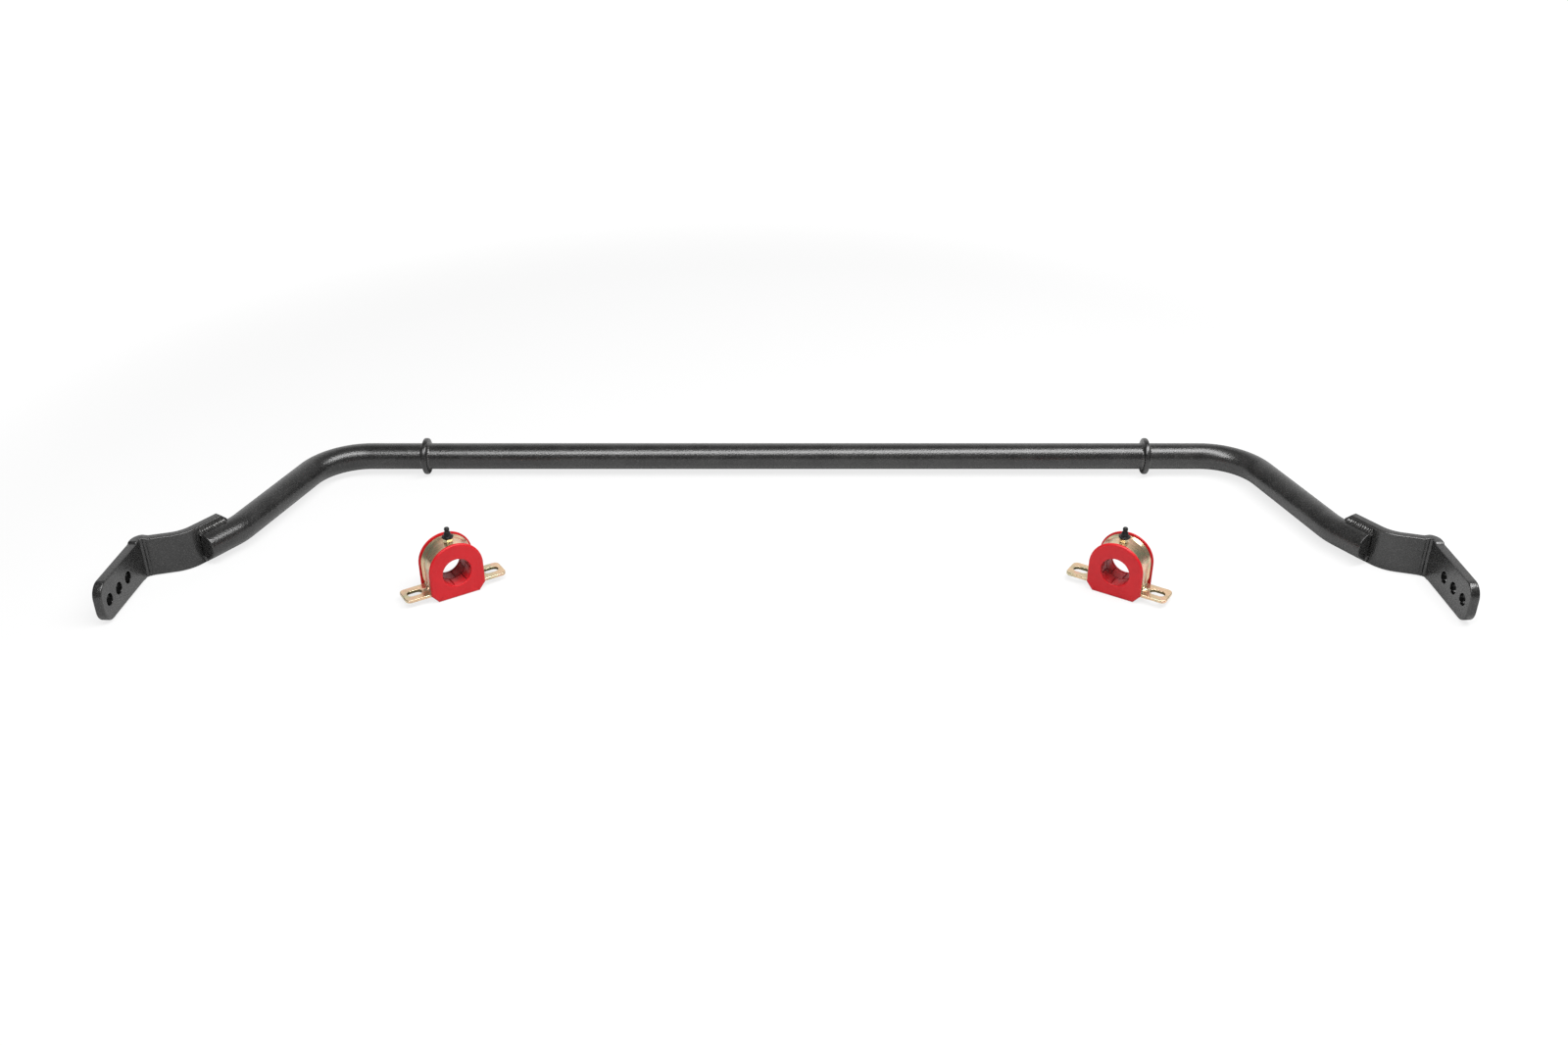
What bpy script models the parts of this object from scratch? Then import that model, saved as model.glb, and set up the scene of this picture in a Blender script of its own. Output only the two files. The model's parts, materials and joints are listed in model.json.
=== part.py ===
"""Sway bar laid out with its two bushing mounts.

A hollow bent bar carries a welded, notched-in end plate on each arm, two locator rings, and a cap on each
tube end. In front of it stand two mounts: a D-shaped split bushing in a channelled strap bracket with
slotted tabs, a grease fitting with its check ball and spring, and a pull-off grease cap.

Units are metres, +Z is up, +X runs along the bar's straight section and -Y is the side the arms reach to.
The origin is at the centre of the whole set's footprint, on the surface that it lies on.
"""

from math import acos, cos, pi, radians, sin, sqrt, tan

import bmesh
import bpy
from mathutils import Matrix, Vector

# ---- fits and resolution
GAP = 0.0003  # clearance kept between touching pieces
BEND_STEPS = 8  # points along each bend of the bar
TUBE_SIDES = 20
BORE_SIDES = 12
ROUND_SIDES = 40  # sides of the bushing's bore
ARCH_STEPS = 14  # steps of the strap's arch, from its side to its crown
TURN_STEPS = 20  # steps of a small turned part
OVERCUT = 0.002  # how far a cutter reaches past the face that it opens

# ---- bar
TUBE_RADIUS = 0.0127
TUBE_WALL = 0.0046
CORNER_X = 0.447  # where the straight section's line meets the arm's line
ARM_ANGLE = radians(72.0)  # arm from the straight section, in plan
ARM_LENGTH = 0.1525  # between the two corners of the arm
TAIL_ANGLE = radians(57.0)  # the short tail that holds the end plate
TAIL_LENGTH = 0.038
MAIN_BEND = 0.055
TAIL_BEND = 0.056
CAP_THICKNESS = 0.0030
NOTCH_SIZE = (0.080, 0.020, 0.050)  # block that clears the way for the end plate

# ---- locator rings
RING_X = 0.3535
RING_RADIUS = 0.0178
RING_WIDTH = 0.0050
RING_WELD = 0.0022  # leg of the weld at each side of a ring

# ---- end plates
PLATE_WIDTH = 0.0381
PLATE_THICKNESS = 0.0080
PLATE_OFFSET = 0.0036  # near face of the plate from the tail's axis
PLATE_START = 0.0070  # from the tail's corner
PLATE_TAIL = 0.0446  # straight run along the tail
PLATE_SPAN = 0.0371  # run between the gentle and the sharp bend
PLATE_SPAN_ANGLE = radians(18.0)
FLANGE_ANGLE = radians(87.1)
FLANGE_LENGTH = 0.0830
GENTLE_BEND = 0.030
SHARP_BEND = 0.0070
PLATE_CHAMFER = 0.0055
FLANGE_CORNER = 0.0125
LINK_HOLE_RADIUS = 0.00525
LINK_HOLE_FROM_END = (0.0124, 0.0302, 0.0480)
WELD_BEAD = 0.0024

# ---- bushing mounts
MOUNT_X = 0.2876
MOUNT_BACK = 0.2192  # in front of the bar's axis
MOUNT_YAW = radians(32.8)
BUSHING_LENGTH = 0.0275
BUSHING_HALF_WIDTH = 0.0243
BUSHING_ARC_HEIGHT = 0.0267
BUSHING_CHAMFER = (0.0058, 0.0070)
BORE_HEIGHT = 0.0239
BORE_RADIUS = 0.0128
GROOVE_HALF_WIDTH = 0.0184
GROOVE_LENGTH = 0.0226
SLIT_WIDTH = 0.0003
GREASE_HOLE_RADIUS = 0.0020

# ---- strap brackets
STRAP_THICKNESS = 0.0028
STRAP_WIDTH = 0.0218
RIM_RADIUS = 0.0240
RIM_WIDTH = 0.0020
TAB_HALF_LENGTH = 0.0455
TAB_HEIGHT = 0.0055  # underside of the tabs above the bushing's flat
TAB_CORNER = 0.0045
TAB_BEND = 0.0024
SLOT_CENTRE = 0.0350
SLOT_LENGTH = 0.0130
SLOT_WIDTH = 0.0082

# ---- grease fittings and their caps, heights above the strap's crown
FITTING_SHANK = 0.0028
FITTING_DEPTH = 0.0050
HEX_ACROSS_FLATS = 0.0080
HEX_HEIGHT = 0.0032
HEAD_RADIUS = 0.0026
NECK_RADIUS = 0.0020
COLLAR_RADIUS = 0.00286
NIPPLE_HEIGHT = 0.0090
HEAD_SEAT = 0.0072  # the head's widest part, and the seat that stops the check ball
NECK_SPAN = (0.0048, 0.0060)
COLLAR_TOP = 0.0036
CHANNEL_RADIUS = 0.0015
CHANNEL_FLOOR = 0.0012
PORT_RADIUS = 0.0008
BALL_RADIUS = 0.0011
SPRING_WIRE = 0.0002
SPRING_RADIUS = 0.0010
SPRING_TURNS = 5
SPRING_STEPS = 8  # points in each turn
CAP_BRIM = 0.0050
CAP_BRIM_THICKNESS = 0.0010
CAP_BODY = 0.0036
CAP_BODY_HEIGHT = 0.0022
CAP_WAIST = 0.0023
CAP_KNOB = 0.0029
CAP_KNOB_HEIGHT = 0.0036
CAP_BASE = 0.0044
CAP_HEIGHT = 0.0090

# ---- worked out from the sizes above
AXIS_HEIGHT = RING_RADIUS + GAP / 3
STRAP_INNER = GROOVE_HALF_WIDTH + GAP
STRAP_OUTER = STRAP_INNER + STRAP_THICKNESS
CROWN_HEIGHT = BUSHING_ARC_HEIGHT + STRAP_OUTER
SIDES = {"left": -1, "right": 1}


def direction(angle):
    """Unit vector in plan for a run that turns by this angle from +X towards -Y."""
    return Vector((cos(angle), -sin(angle), 0.0))


def side_normal(angle):
    """Unit vector square to direction(angle), on the outer, rear side of the run."""
    return Vector((sin(angle), cos(angle), 0.0))


MAIN_CORNER = Vector((CORNER_X, 0.0, 0.0))
TAIL_CORNER = MAIN_CORNER + ARM_LENGTH * direction(ARM_ANGLE)
TUBE_END = TAIL_CORNER + TAIL_LENGTH * direction(TAIL_ANGLE)
PLATE_MIDDLE = PLATE_OFFSET + PLATE_THICKNESS / 2
PLATE_INNER = TAIL_CORNER + PLATE_START * direction(TAIL_ANGLE) + PLATE_MIDDLE * side_normal(TAIL_ANGLE)
PLATE_GENTLE = PLATE_INNER + PLATE_TAIL * direction(TAIL_ANGLE)
PLATE_SHARP = PLATE_GENTLE + PLATE_SPAN * direction(PLATE_SPAN_ANGLE)
FLANGE_END = PLATE_SHARP + FLANGE_LENGTH * direction(FLANGE_ANGLE)
AXIS_Y = (-FLANGE_END.y - RING_RADIUS) / 2  # centres the footprint on the origin


# ---------------------------------------------------------------- scene and materials


def clear_scene():
    for obj in list(bpy.data.objects):
        bpy.data.objects.remove(obj, do_unlink=True)


def make_collection(name, hidden=False):
    made = bpy.data.collections.new(name)
    bpy.context.scene.collection.children.link(made)
    made.hide_render = hidden
    return made


def make_material(name, colour, metallic, roughness):
    made = bpy.data.materials.new(name)
    made.use_nodes = True
    shader = made.node_tree.nodes["Principled BSDF"]
    shader.inputs["Base Color"].default_value = (*colour, 1.0)
    shader.inputs["Metallic"].default_value = metallic
    shader.inputs["Roughness"].default_value = roughness
    return made


clear_scene()
PARTS = make_collection("sway_bar")
CUTTERS = make_collection("sway_bar_cutters", hidden=True)
FINISH = {
    "hammertone": make_material("hammertone_black", (0.045, 0.045, 0.048), 0.3, 0.42),
    "weld": make_material("coated_weld", (0.060, 0.060, 0.062), 0.4, 0.35),
    "bushing": make_material("red_polyurethane", (0.700, 0.020, 0.030), 0.0, 0.45),
    "strap": make_material("yellow_zinc", (0.620, 0.530, 0.340), 0.9, 0.35),
    "fitting": make_material("plated_steel", (0.560, 0.500, 0.360), 0.9, 0.30),
    "ball": make_material("bright_steel", (0.600, 0.600, 0.600), 1.0, 0.20),
    "rubber": make_material("black_rubber", (0.015, 0.015, 0.016), 0.0, 0.55),
}


# ---------------------------------------------------------------- modelling helpers


def add_object(name, mesh, finish=None, parent=None):
    """Links a mesh as a part with a finish, or as a hidden cutter when it has none."""
    obj = bpy.data.objects.new(name, mesh)
    obj.parent = parent
    if finish is None:
        CUTTERS.objects.link(obj)
        obj.hide_render = True
        obj.display_type = "WIRE"
    else:
        PARTS.objects.link(obj)
        mesh.materials.append(FINISH[finish])
    return obj


def add_empty(name, location, yaw=0.0):
    obj = bpy.data.objects.new(name, None)
    obj.location = location
    obj.rotation_euler.z = yaw
    PARTS.objects.link(obj)
    return obj


def curve_to_mesh(curve):
    """The evaluated surface of a curve, closed by welding its loose caps."""
    holder = bpy.data.objects.new(curve.name, curve)
    CUTTERS.objects.link(holder)
    bpy.context.view_layer.update()
    graph = bpy.context.evaluated_depsgraph_get()
    mesh = bpy.data.meshes.new_from_object(holder.evaluated_get(graph))
    mesh.name = curve.name
    bpy.data.objects.remove(holder, do_unlink=True)
    bpy.data.curves.remove(curve)
    clean(mesh)
    return mesh


def clean(mesh):
    """Welds the vertices that meet and turns every face outwards."""
    shape = bmesh.new()
    shape.from_mesh(mesh)
    bmesh.ops.remove_doubles(shape, verts=shape.verts, dist=1e-6)
    bmesh.ops.recalc_face_normals(shape, faces=shape.faces)
    shape.to_mesh(mesh)
    shape.free()


def smooth(obj, angle=35.0):
    obj.data.shade_smooth()
    obj.data.set_sharp_from_angle(angle=radians(angle))


def pipe_mesh(name, points, radius, sides):
    """A round bar swept along points, with filled ends."""
    curve = bpy.data.curves.new(name, "CURVE")
    curve.dimensions = "3D"
    curve.bevel_depth = radius
    curve.bevel_resolution = sides // 2 - 2
    curve.use_fill_caps = True
    spline = curve.splines.new("POLY")
    spline.points.add(len(points) - 1)
    for slot, point in zip(spline.points, points):
        slot.co = (*point, 1.0)
    return curve_to_mesh(curve)


def plate_mesh(name, outlines, depth, turn=None):
    """Flat outlines, the later ones holes in the first, made depth thick about their plane.

    turn is the matrix that takes the outline's plane from XY to where it belongs.
    """
    curve = bpy.data.curves.new(name, "CURVE")
    curve.dimensions = "2D"
    curve.fill_mode = "BOTH"
    curve.extrude = depth / 2
    for outline in outlines:
        spline = curve.splines.new("POLY")
        spline.points.add(len(outline) - 1)
        spline.use_cyclic_u = True
        for slot, point in zip(spline.points, outline):
            slot.co = (point[0], point[1], 0.0, 1.0)
    mesh = curve_to_mesh(curve)
    if turn is not None:
        mesh.transform(turn)
    return mesh


def cylinder_mesh(name, radius, depth, sides, place=None):
    shape = bmesh.new()
    bmesh.ops.create_cone(shape, cap_ends=True, segments=sides, radius1=radius, radius2=radius, depth=depth)
    mesh = bpy.data.meshes.new(name)
    shape.to_mesh(mesh)
    shape.free()
    if place is not None:
        mesh.transform(place)
    return mesh


def box_mesh(name, size, place):
    shape = bmesh.new()
    bmesh.ops.create_cube(shape, size=1.0)
    mesh = bpy.data.meshes.new(name)
    shape.to_mesh(mesh)
    shape.free()
    mesh.transform(place @ Matrix.Diagonal((*size, 1.0)))
    return mesh


def turned_mesh(name, profile, closed):
    """A profile of (radius, height) points, listed down its outer side, turned about Z."""
    mesh = bpy.data.meshes.new(name + "_profile")
    edges = [(i, i + 1) for i in range(len(profile) - 1)]
    if closed:
        edges.append((len(profile) - 1, 0))
    mesh.from_pydata([(radius, 0.0, height) for radius, height in profile], edges, [])
    holder = bpy.data.objects.new(name + "_profile", mesh)
    CUTTERS.objects.link(holder)
    screw = holder.modifiers.new("turn", "SCREW")
    screw.steps = TURN_STEPS
    screw.render_steps = TURN_STEPS
    screw.use_merge_vertices = True
    screw.merge_threshold = 1e-6
    bpy.context.view_layer.update()
    made = bpy.data.meshes.new_from_object(holder.evaluated_get(bpy.context.evaluated_depsgraph_get()))
    made.name = name
    bpy.data.objects.remove(holder, do_unlink=True)
    bpy.data.meshes.remove(mesh)
    clean(made)
    return made


def combine(obj, other, operation):
    """Joins other to the object, cuts it out, or keeps what both hold."""
    modifier = obj.modifiers.new(other.name, "BOOLEAN")
    modifier.operation = operation
    modifier.solver = "EXACT"
    modifier.object = other


def arc(centre, radius, start, end, steps):
    """Points on a circular arc, angles in radians, both ends included."""
    return [
        (centre[0] + radius * cos(start + (end - start) * i / steps),
         centre[1] + radius * sin(start + (end - start) * i / steps))
        for i in range(steps + 1)
    ]


def circle(centre, radius, sides):
    return arc(centre, radius, 0.0, 2 * pi, sides)[:-1]


def rounded_run(corners, radii, steps):
    """Points along straight runs whose inner corners are rounded, in plan."""
    points = [corners[0]]
    for before, corner, after, radius in zip(corners, corners[1:], corners[2:], radii):
        arrive = (corner - before).normalized()
        leave = (after - corner).normalized()
        turn = acos(max(-1.0, min(1.0, arrive.dot(leave))))
        hand = 1.0 if arrive.cross(leave).z > 0 else -1.0
        inward = hand * Vector((-arrive.y, arrive.x, 0.0))
        start = corner - radius * tan(turn / 2) * arrive
        centre = start + radius * inward
        for i in range(steps + 1):
            spin = Matrix.Rotation(hand * turn * i / steps, 3, "Z")
            points.append(centre - radius * (spin @ inward))
    points.append(corners[-1])
    return points


def frame_of(origin, x_axis, y_axis):
    """A right-handed frame at origin with the given X and Y axes."""
    frame = Matrix.Identity(4)
    for column, axis in enumerate((x_axis, y_axis, x_axis.cross(y_axis))):
        frame.col[column][:3] = axis
    frame.translation = origin
    return frame


def plan_frame(origin, angle):
    """A frame whose X runs along direction(angle), with Y to its outer, rear side."""
    return frame_of(origin, direction(angle), side_normal(angle))


def mirrored(mesh, side):
    """Turns a right-hand piece into its left-hand twin where side is -1."""
    if side < 0:
        mesh.transform(Matrix.Diagonal((-1.0, 1.0, 1.0, 1.0)))
        mesh.flip_normals()
    return mesh


# ---------------------------------------------------------------- bar


def bar_run(end):
    """The bar's centreline from its left end to its right end."""
    half = rounded_run([Vector(), MAIN_CORNER, TAIL_CORNER, end], (MAIN_BEND, TAIL_BEND), BEND_STEPS)[1:]
    return [Vector((-p.x, p.y, 0.0)) for p in reversed(half)] + half


def notch_cutter(name, side, parent):
    """The slot in the tail's rear half that the end plate is let into."""
    length, depth, _ = NOTCH_SIZE
    frame = plan_frame(TAIL_CORNER, TAIL_ANGLE)
    middle = Vector((PLATE_START - GAP + length / 2, PLATE_OFFSET - GAP + depth / 2, 0.0))
    mesh = box_mesh(name, NOTCH_SIZE, frame @ Matrix.Translation(middle))
    return add_object(name, mirrored(mesh, side), parent=parent)


def build_tube(axis):
    wall_end = TUBE_END - (CAP_THICKNESS + GAP) * direction(TAIL_ANGLE)
    core_end = TUBE_END + CAP_THICKNESS * direction(TAIL_ANGLE)
    tube = add_object("bar_tube", pipe_mesh("bar_tube", bar_run(wall_end), TUBE_RADIUS, TUBE_SIDES),
                      "hammertone", axis)
    core_mesh = pipe_mesh("tube_core", bar_run(core_end), TUBE_RADIUS - TUBE_WALL, BORE_SIDES)
    combine(tube, add_object("tube_core", core_mesh, parent=axis), "DIFFERENCE")
    for name, side in SIDES.items():
        combine(tube, notch_cutter(f"{name}_tube_notch", side, axis), "DIFFERENCE")
    smooth(tube)


def build_tube_cap(name, side, axis):
    """A disc over the end of the tail, cut flat where the end plate passes."""
    middle = TUBE_END - CAP_THICKNESS / 2 * direction(TAIL_ANGLE)
    place = plan_frame(middle, TAIL_ANGLE) @ Matrix.Rotation(pi / 2, 4, "Y")
    mesh = cylinder_mesh(f"{name}_tube_cap", TUBE_RADIUS, CAP_THICKNESS, TUBE_SIDES, place)
    cap = add_object(f"{name}_tube_cap", mirrored(mesh, side), "hammertone", axis)
    combine(cap, notch_cutter(f"{name}_cap_notch", side, axis), "DIFFERENCE")
    smooth(cap)


def build_locator(name, side, axis):
    """A stop ring round the bar, with a weld at each side of its foot."""
    turn = Matrix.Translation((side * RING_X, 0.0, 0.0)) @ Matrix.Rotation(pi / 2, 4, "Y")
    inner = TUBE_RADIUS + GAP
    half = RING_WIDTH / 2
    crown = RING_RADIUS - half
    rim = arc((crown, 0.0), half, pi / 2, -pi / 2, 8)
    ring = turned_mesh(f"{name}_locator_ring", rim + [(inner, -half), (inner, half)], closed=True)
    ring.transform(turn)
    smooth(add_object(f"{name}_locator_ring", ring, "hammertone", axis))
    for place, hand in (("inner", -side), ("outer", side)):
        foot = hand * (half + GAP)
        toe = foot + hand * RING_WELD
        profile = [(inner + RING_WELD, foot), (inner, foot), (inner, toe)]
        if hand > 0:
            profile.reverse()
        weld = turned_mesh(f"{name}_ring_{place}_weld", profile, closed=True)
        weld.transform(turn)
        smooth(add_object(f"{name}_ring_{place}_weld", weld, "weld", axis))


def plate_outline():
    """The end plate's outline in plan: its middle line, offset by half the thickness each way."""
    run = rounded_run([PLATE_INNER, PLATE_GENTLE, PLATE_SHARP, FLANGE_END], (GENTLE_BEND, SHARP_BEND), 8)
    near, far = [], []
    for i, point in enumerate(run):
        along = (run[min(i + 1, len(run) - 1)] - run[max(i - 1, 0)]).normalized()
        across = Vector((-along.y, along.x, 0.0)) * PLATE_THICKNESS / 2
        near.append((point - across)[:2])
        far.append((point + across)[:2])
    return near + far[::-1]


def build_end_plate(name, side, axis):
    """A flat bar on edge: along the tail, gently bent outwards, then sharply forwards to the link flange."""
    lift = PLATE_WIDTH / 2 - AXIS_HEIGHT  # its lower edge is level with the rings' lowest point
    mesh = plate_mesh(f"{name}_end_plate", [plate_outline()], PLATE_WIDTH, Matrix.Translation((0, 0, lift)))
    plate = add_object(f"{name}_end_plate", mirrored(mesh, side), "hammertone", axis)

    # The flange's two end corners are rounded, and it is pierced for the drop link.
    half = PLATE_WIDTH / 2
    stand = frame_of(FLANGE_END + Vector((0, 0, lift)), -direction(FLANGE_ANGLE), Vector((0, 0, 1)))
    for level, hand in (("upper", 1), ("lower", -1)):
        curve = arc((FLANGE_CORNER, hand * (half - FLANGE_CORNER)), FLANGE_CORNER, pi, pi - hand * pi / 2, 6)
        beyond = hand * (half + OVERCUT)
        border = [(-OVERCUT, curve[0][1])] + curve + [(FLANGE_CORNER, beyond), (-OVERCUT, beyond)]
        block = plate_mesh(f"{name}_{level}_corner", [border], 3 * PLATE_THICKNESS, stand)
        cutter = add_object(f"{name}_{level}_corner", mirrored(block, side), parent=axis)
        combine(plate, cutter, "DIFFERENCE")
    for number, along in enumerate(LINK_HOLE_FROM_END, start=1):
        place = stand @ Matrix.Translation((along, 0.0, 0.0))
        label = f"{name}_link_drill_{number}"
        drill = cylinder_mesh(label, LINK_HOLE_RADIUS, 3 * PLATE_THICKNESS, TURN_STEPS, place)
        combine(plate, add_object(label, mirrored(drill, side), parent=axis), "DIFFERENCE")

    # Both corners of the inner end are chamfered by a tilted block.
    size = (0.060, 0.030, 0.020)
    frame = plan_frame(PLATE_INNER, TAIL_ANGLE)
    for level, hand in (("upper", 1), ("lower", -1)):
        corner = Matrix.Translation((0.0, 0.0, lift + hand * half))
        tilt = Matrix.Rotation(-hand * pi / 4, 4, "Y")
        shift = Matrix.Translation((0.0, 0.0, hand * (size[2] / 2 - PLATE_CHAMFER / sqrt(2))))
        block = box_mesh(f"{name}_{level}_chamfer", size, frame @ corner @ tilt @ shift)
        cutter = add_object(f"{name}_{level}_chamfer", mirrored(block, side), parent=axis)
        combine(plate, cutter, "DIFFERENCE")
    smooth(plate)


def build_plate_weld(name, level, hand, side, axis):
    """A bead in the corner between the tail and the near face of its end plate."""
    reach = WELD_BEAD + GAP
    across = PLATE_OFFSET - reach
    height = sqrt((TUBE_RADIUS + reach) ** 2 - across**2)
    frame = plan_frame(TAIL_CORNER, TAIL_ANGLE)
    start = PLATE_START + PLATE_CHAMFER
    run = [frame @ Vector((along, across, hand * height)) for along in (start, TAIL_LENGTH)]
    mesh = pipe_mesh(f"{name}_{level}_weld", run, WELD_BEAD, BORE_SIDES)
    smooth(add_object(f"{name}_{level}_weld", mirrored(mesh, side), "weld", axis))


def build_bar():
    axis = add_empty("bar_axis", (0.0, AXIS_Y, AXIS_HEIGHT))
    build_tube(axis)
    for name, side in SIDES.items():
        build_tube_cap(name, side, axis)
        build_locator(name, side, axis)
        build_end_plate(name, side, axis)
        build_plate_weld(name, "upper", 1, side, axis)
        build_plate_weld(name, "lower", -1, side, axis)


# ---------------------------------------------------------------- bushing mounts
# Each mount is modelled about its own origin: X across the bushing, Y along its bore, Z up.

ON_EDGE = Matrix.Rotation(pi / 2, 4, "X")  # stands an outline up, so that its depth runs along the bore


def arch(half_width, foot):
    """A round-topped outline about the bushing's centreline, down to the height of its foot."""
    top = arc((0.0, BUSHING_ARC_HEIGHT), half_width, 0.0, pi, 2 * ARCH_STEPS)
    return [(half_width, foot)] + top + [(-half_width, foot)]


def build_bushing(name, mount):
    inset, rise = BUSHING_CHAMFER
    wide = BUSHING_HALF_WIDTH
    outline = arch(wide, rise) + [(-wide + inset, 0.0), (wide - inset, 0.0)]
    bore = circle((0.0, BORE_HEIGHT), BORE_RADIUS, ROUND_SIDES)
    mesh = plate_mesh(f"{name}_bushing", [outline, bore], BUSHING_LENGTH, ON_EDGE)
    bushing = add_object(f"{name}_bushing", mesh, "bushing", mount)

    reach = 2 * BUSHING_HALF_WIDTH
    height = BUSHING_ARC_HEIGHT + reach
    block = [(-reach, -reach), (reach, -reach), (reach, height), (-reach, height)]
    hollow = arch(GROOVE_HALF_WIDTH, -reach / 2)
    groove = plate_mesh(f"{name}_groove", [block, hollow], GROOVE_LENGTH, ON_EDGE)
    combine(bushing, add_object(f"{name}_groove", groove, parent=mount), "DIFFERENCE")

    groove_top = BUSHING_ARC_HEIGHT + GROOVE_HALF_WIDTH
    well_depth = CROWN_HEIGHT - FITTING_DEPTH - GAP
    passages = (
        ("grease_hole", GREASE_HOLE_RADIUS, BORE_HEIGHT, groove_top + OVERCUT),
        ("fitting_well", FITTING_SHANK + GAP, well_depth, groove_top + OVERCUT),
    )
    for label, radius, low, high in passages:
        place = Matrix.Translation((0.0, 0.0, (low + high) / 2))
        drill = cylinder_mesh(f"{name}_{label}", radius, high - low, TURN_STEPS, place)
        combine(bushing, add_object(f"{name}_{label}", drill, parent=mount), "DIFFERENCE")

    place = Matrix.Translation((0.0, 0.0, (BORE_HEIGHT - OVERCUT) / 2))
    size = (SLIT_WIDTH, BUSHING_LENGTH + 2 * OVERCUT, BORE_HEIGHT + OVERCUT)
    slit = box_mesh(f"{name}_slit", size, place)
    combine(bushing, add_object(f"{name}_slit", slit, parent=mount), "DIFFERENCE")
    smooth(bushing)


def strap_band():
    """The bracket seen along the bore: tab, leg, arch, leg and tab, one thickness throughout."""
    low = TAB_HEIGHT
    high = TAB_HEIGHT + STRAP_THICKNESS
    outer_bend = arc((STRAP_OUTER + TAB_BEND, high + TAB_BEND), TAB_BEND, -pi / 2, -pi, 5)
    inner_bend = arc((STRAP_INNER + TAB_BEND, low + TAB_BEND), TAB_BEND, pi, 3 * pi / 2, 5)
    crown = (0.0, BUSHING_ARC_HEIGHT)
    tip = TAB_HALF_LENGTH + OVERCUT
    outer = [(tip, high)] + outer_bend + arc(crown, STRAP_OUTER, 0, pi / 2, ARCH_STEPS)
    inner = arc(crown, STRAP_INNER, pi / 2, 0, ARCH_STEPS) + inner_bend + [(tip, low)]
    flip = [(-x, z) for x, z in reversed(outer[:-1])]
    flip += [(-x, z) for x, z in reversed(inner[1:])] + [inner[0]]
    return inner[1:] + outer + flip


def rounded_rectangle(half_x, half_y, radius, steps=5):
    points = []
    for sign_x, sign_y, start in ((1, 1, 0.0), (-1, 1, pi / 2), (-1, -1, pi), (1, -1, 3 * pi / 2)):
        centre = (sign_x * (half_x - radius), sign_y * (half_y - radius))
        points += arc(centre, radius, start, start + pi / 2, steps)
    return points


def slot_outline(centre_x, length, width, steps=8):
    half = (length - width) / 2
    return (arc((centre_x + half, 0.0), width / 2, -pi / 2, pi / 2, steps)
            + arc((centre_x - half, 0.0), width / 2, pi / 2, 3 * pi / 2, steps))


def build_strap(name, mount):
    # The band is a hair narrower than the rims, so that no two of their faces coincide.
    mesh = plate_mesh(f"{name}_strap_bracket", [strap_band()], STRAP_WIDTH - GAP, ON_EDGE)
    strap = add_object(f"{name}_strap_bracket", mesh, "strap", mount)

    # Upturned rims stiffen both edges of the arch and run down the legs to the tabs.
    foot = TAB_HEIGHT + STRAP_THICKNESS / 2
    inner = STRAP_INNER + STRAP_THICKNESS / 3
    crown = (0.0, BUSHING_ARC_HEIGHT)
    outline = [(RIM_RADIUS, foot)] + arc(crown, RIM_RADIUS, 0, pi, 2 * ARCH_STEPS) + [(-RIM_RADIUS, foot)]
    outline += [(-inner, foot)] + arc(crown, inner, pi, 0, 2 * ARCH_STEPS) + [(inner, foot)]
    for label, hand in (("near", -1), ("far", 1)):
        rim = plate_mesh(f"{name}_{label}_rim", [outline], RIM_WIDTH, ON_EDGE)
        rim.transform(Matrix.Translation((0.0, hand * (STRAP_WIDTH - RIM_WIDTH) / 2, 0.0)))
        combine(strap, add_object(f"{name}_{label}_rim", rim, parent=mount), "UNION")

    # In plan the bracket has rounded corners, a slot in each tab and the fitting's hole in its crown.
    holes = [slot_outline(hand * SLOT_CENTRE, SLOT_LENGTH, SLOT_WIDTH) for hand in (-1, 1)]
    holes.append(circle((0.0, 0.0), FITTING_SHANK + GAP, TURN_STEPS))
    border = rounded_rectangle(TAB_HALF_LENGTH, STRAP_WIDTH / 2 + GAP, TAB_CORNER)
    keep = plate_mesh(f"{name}_bracket_keep", [border] + holes, 3 * CROWN_HEIGHT)
    combine(strap, add_object(f"{name}_bracket_keep", keep, parent=mount), "INTERSECT")
    smooth(strap)


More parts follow.
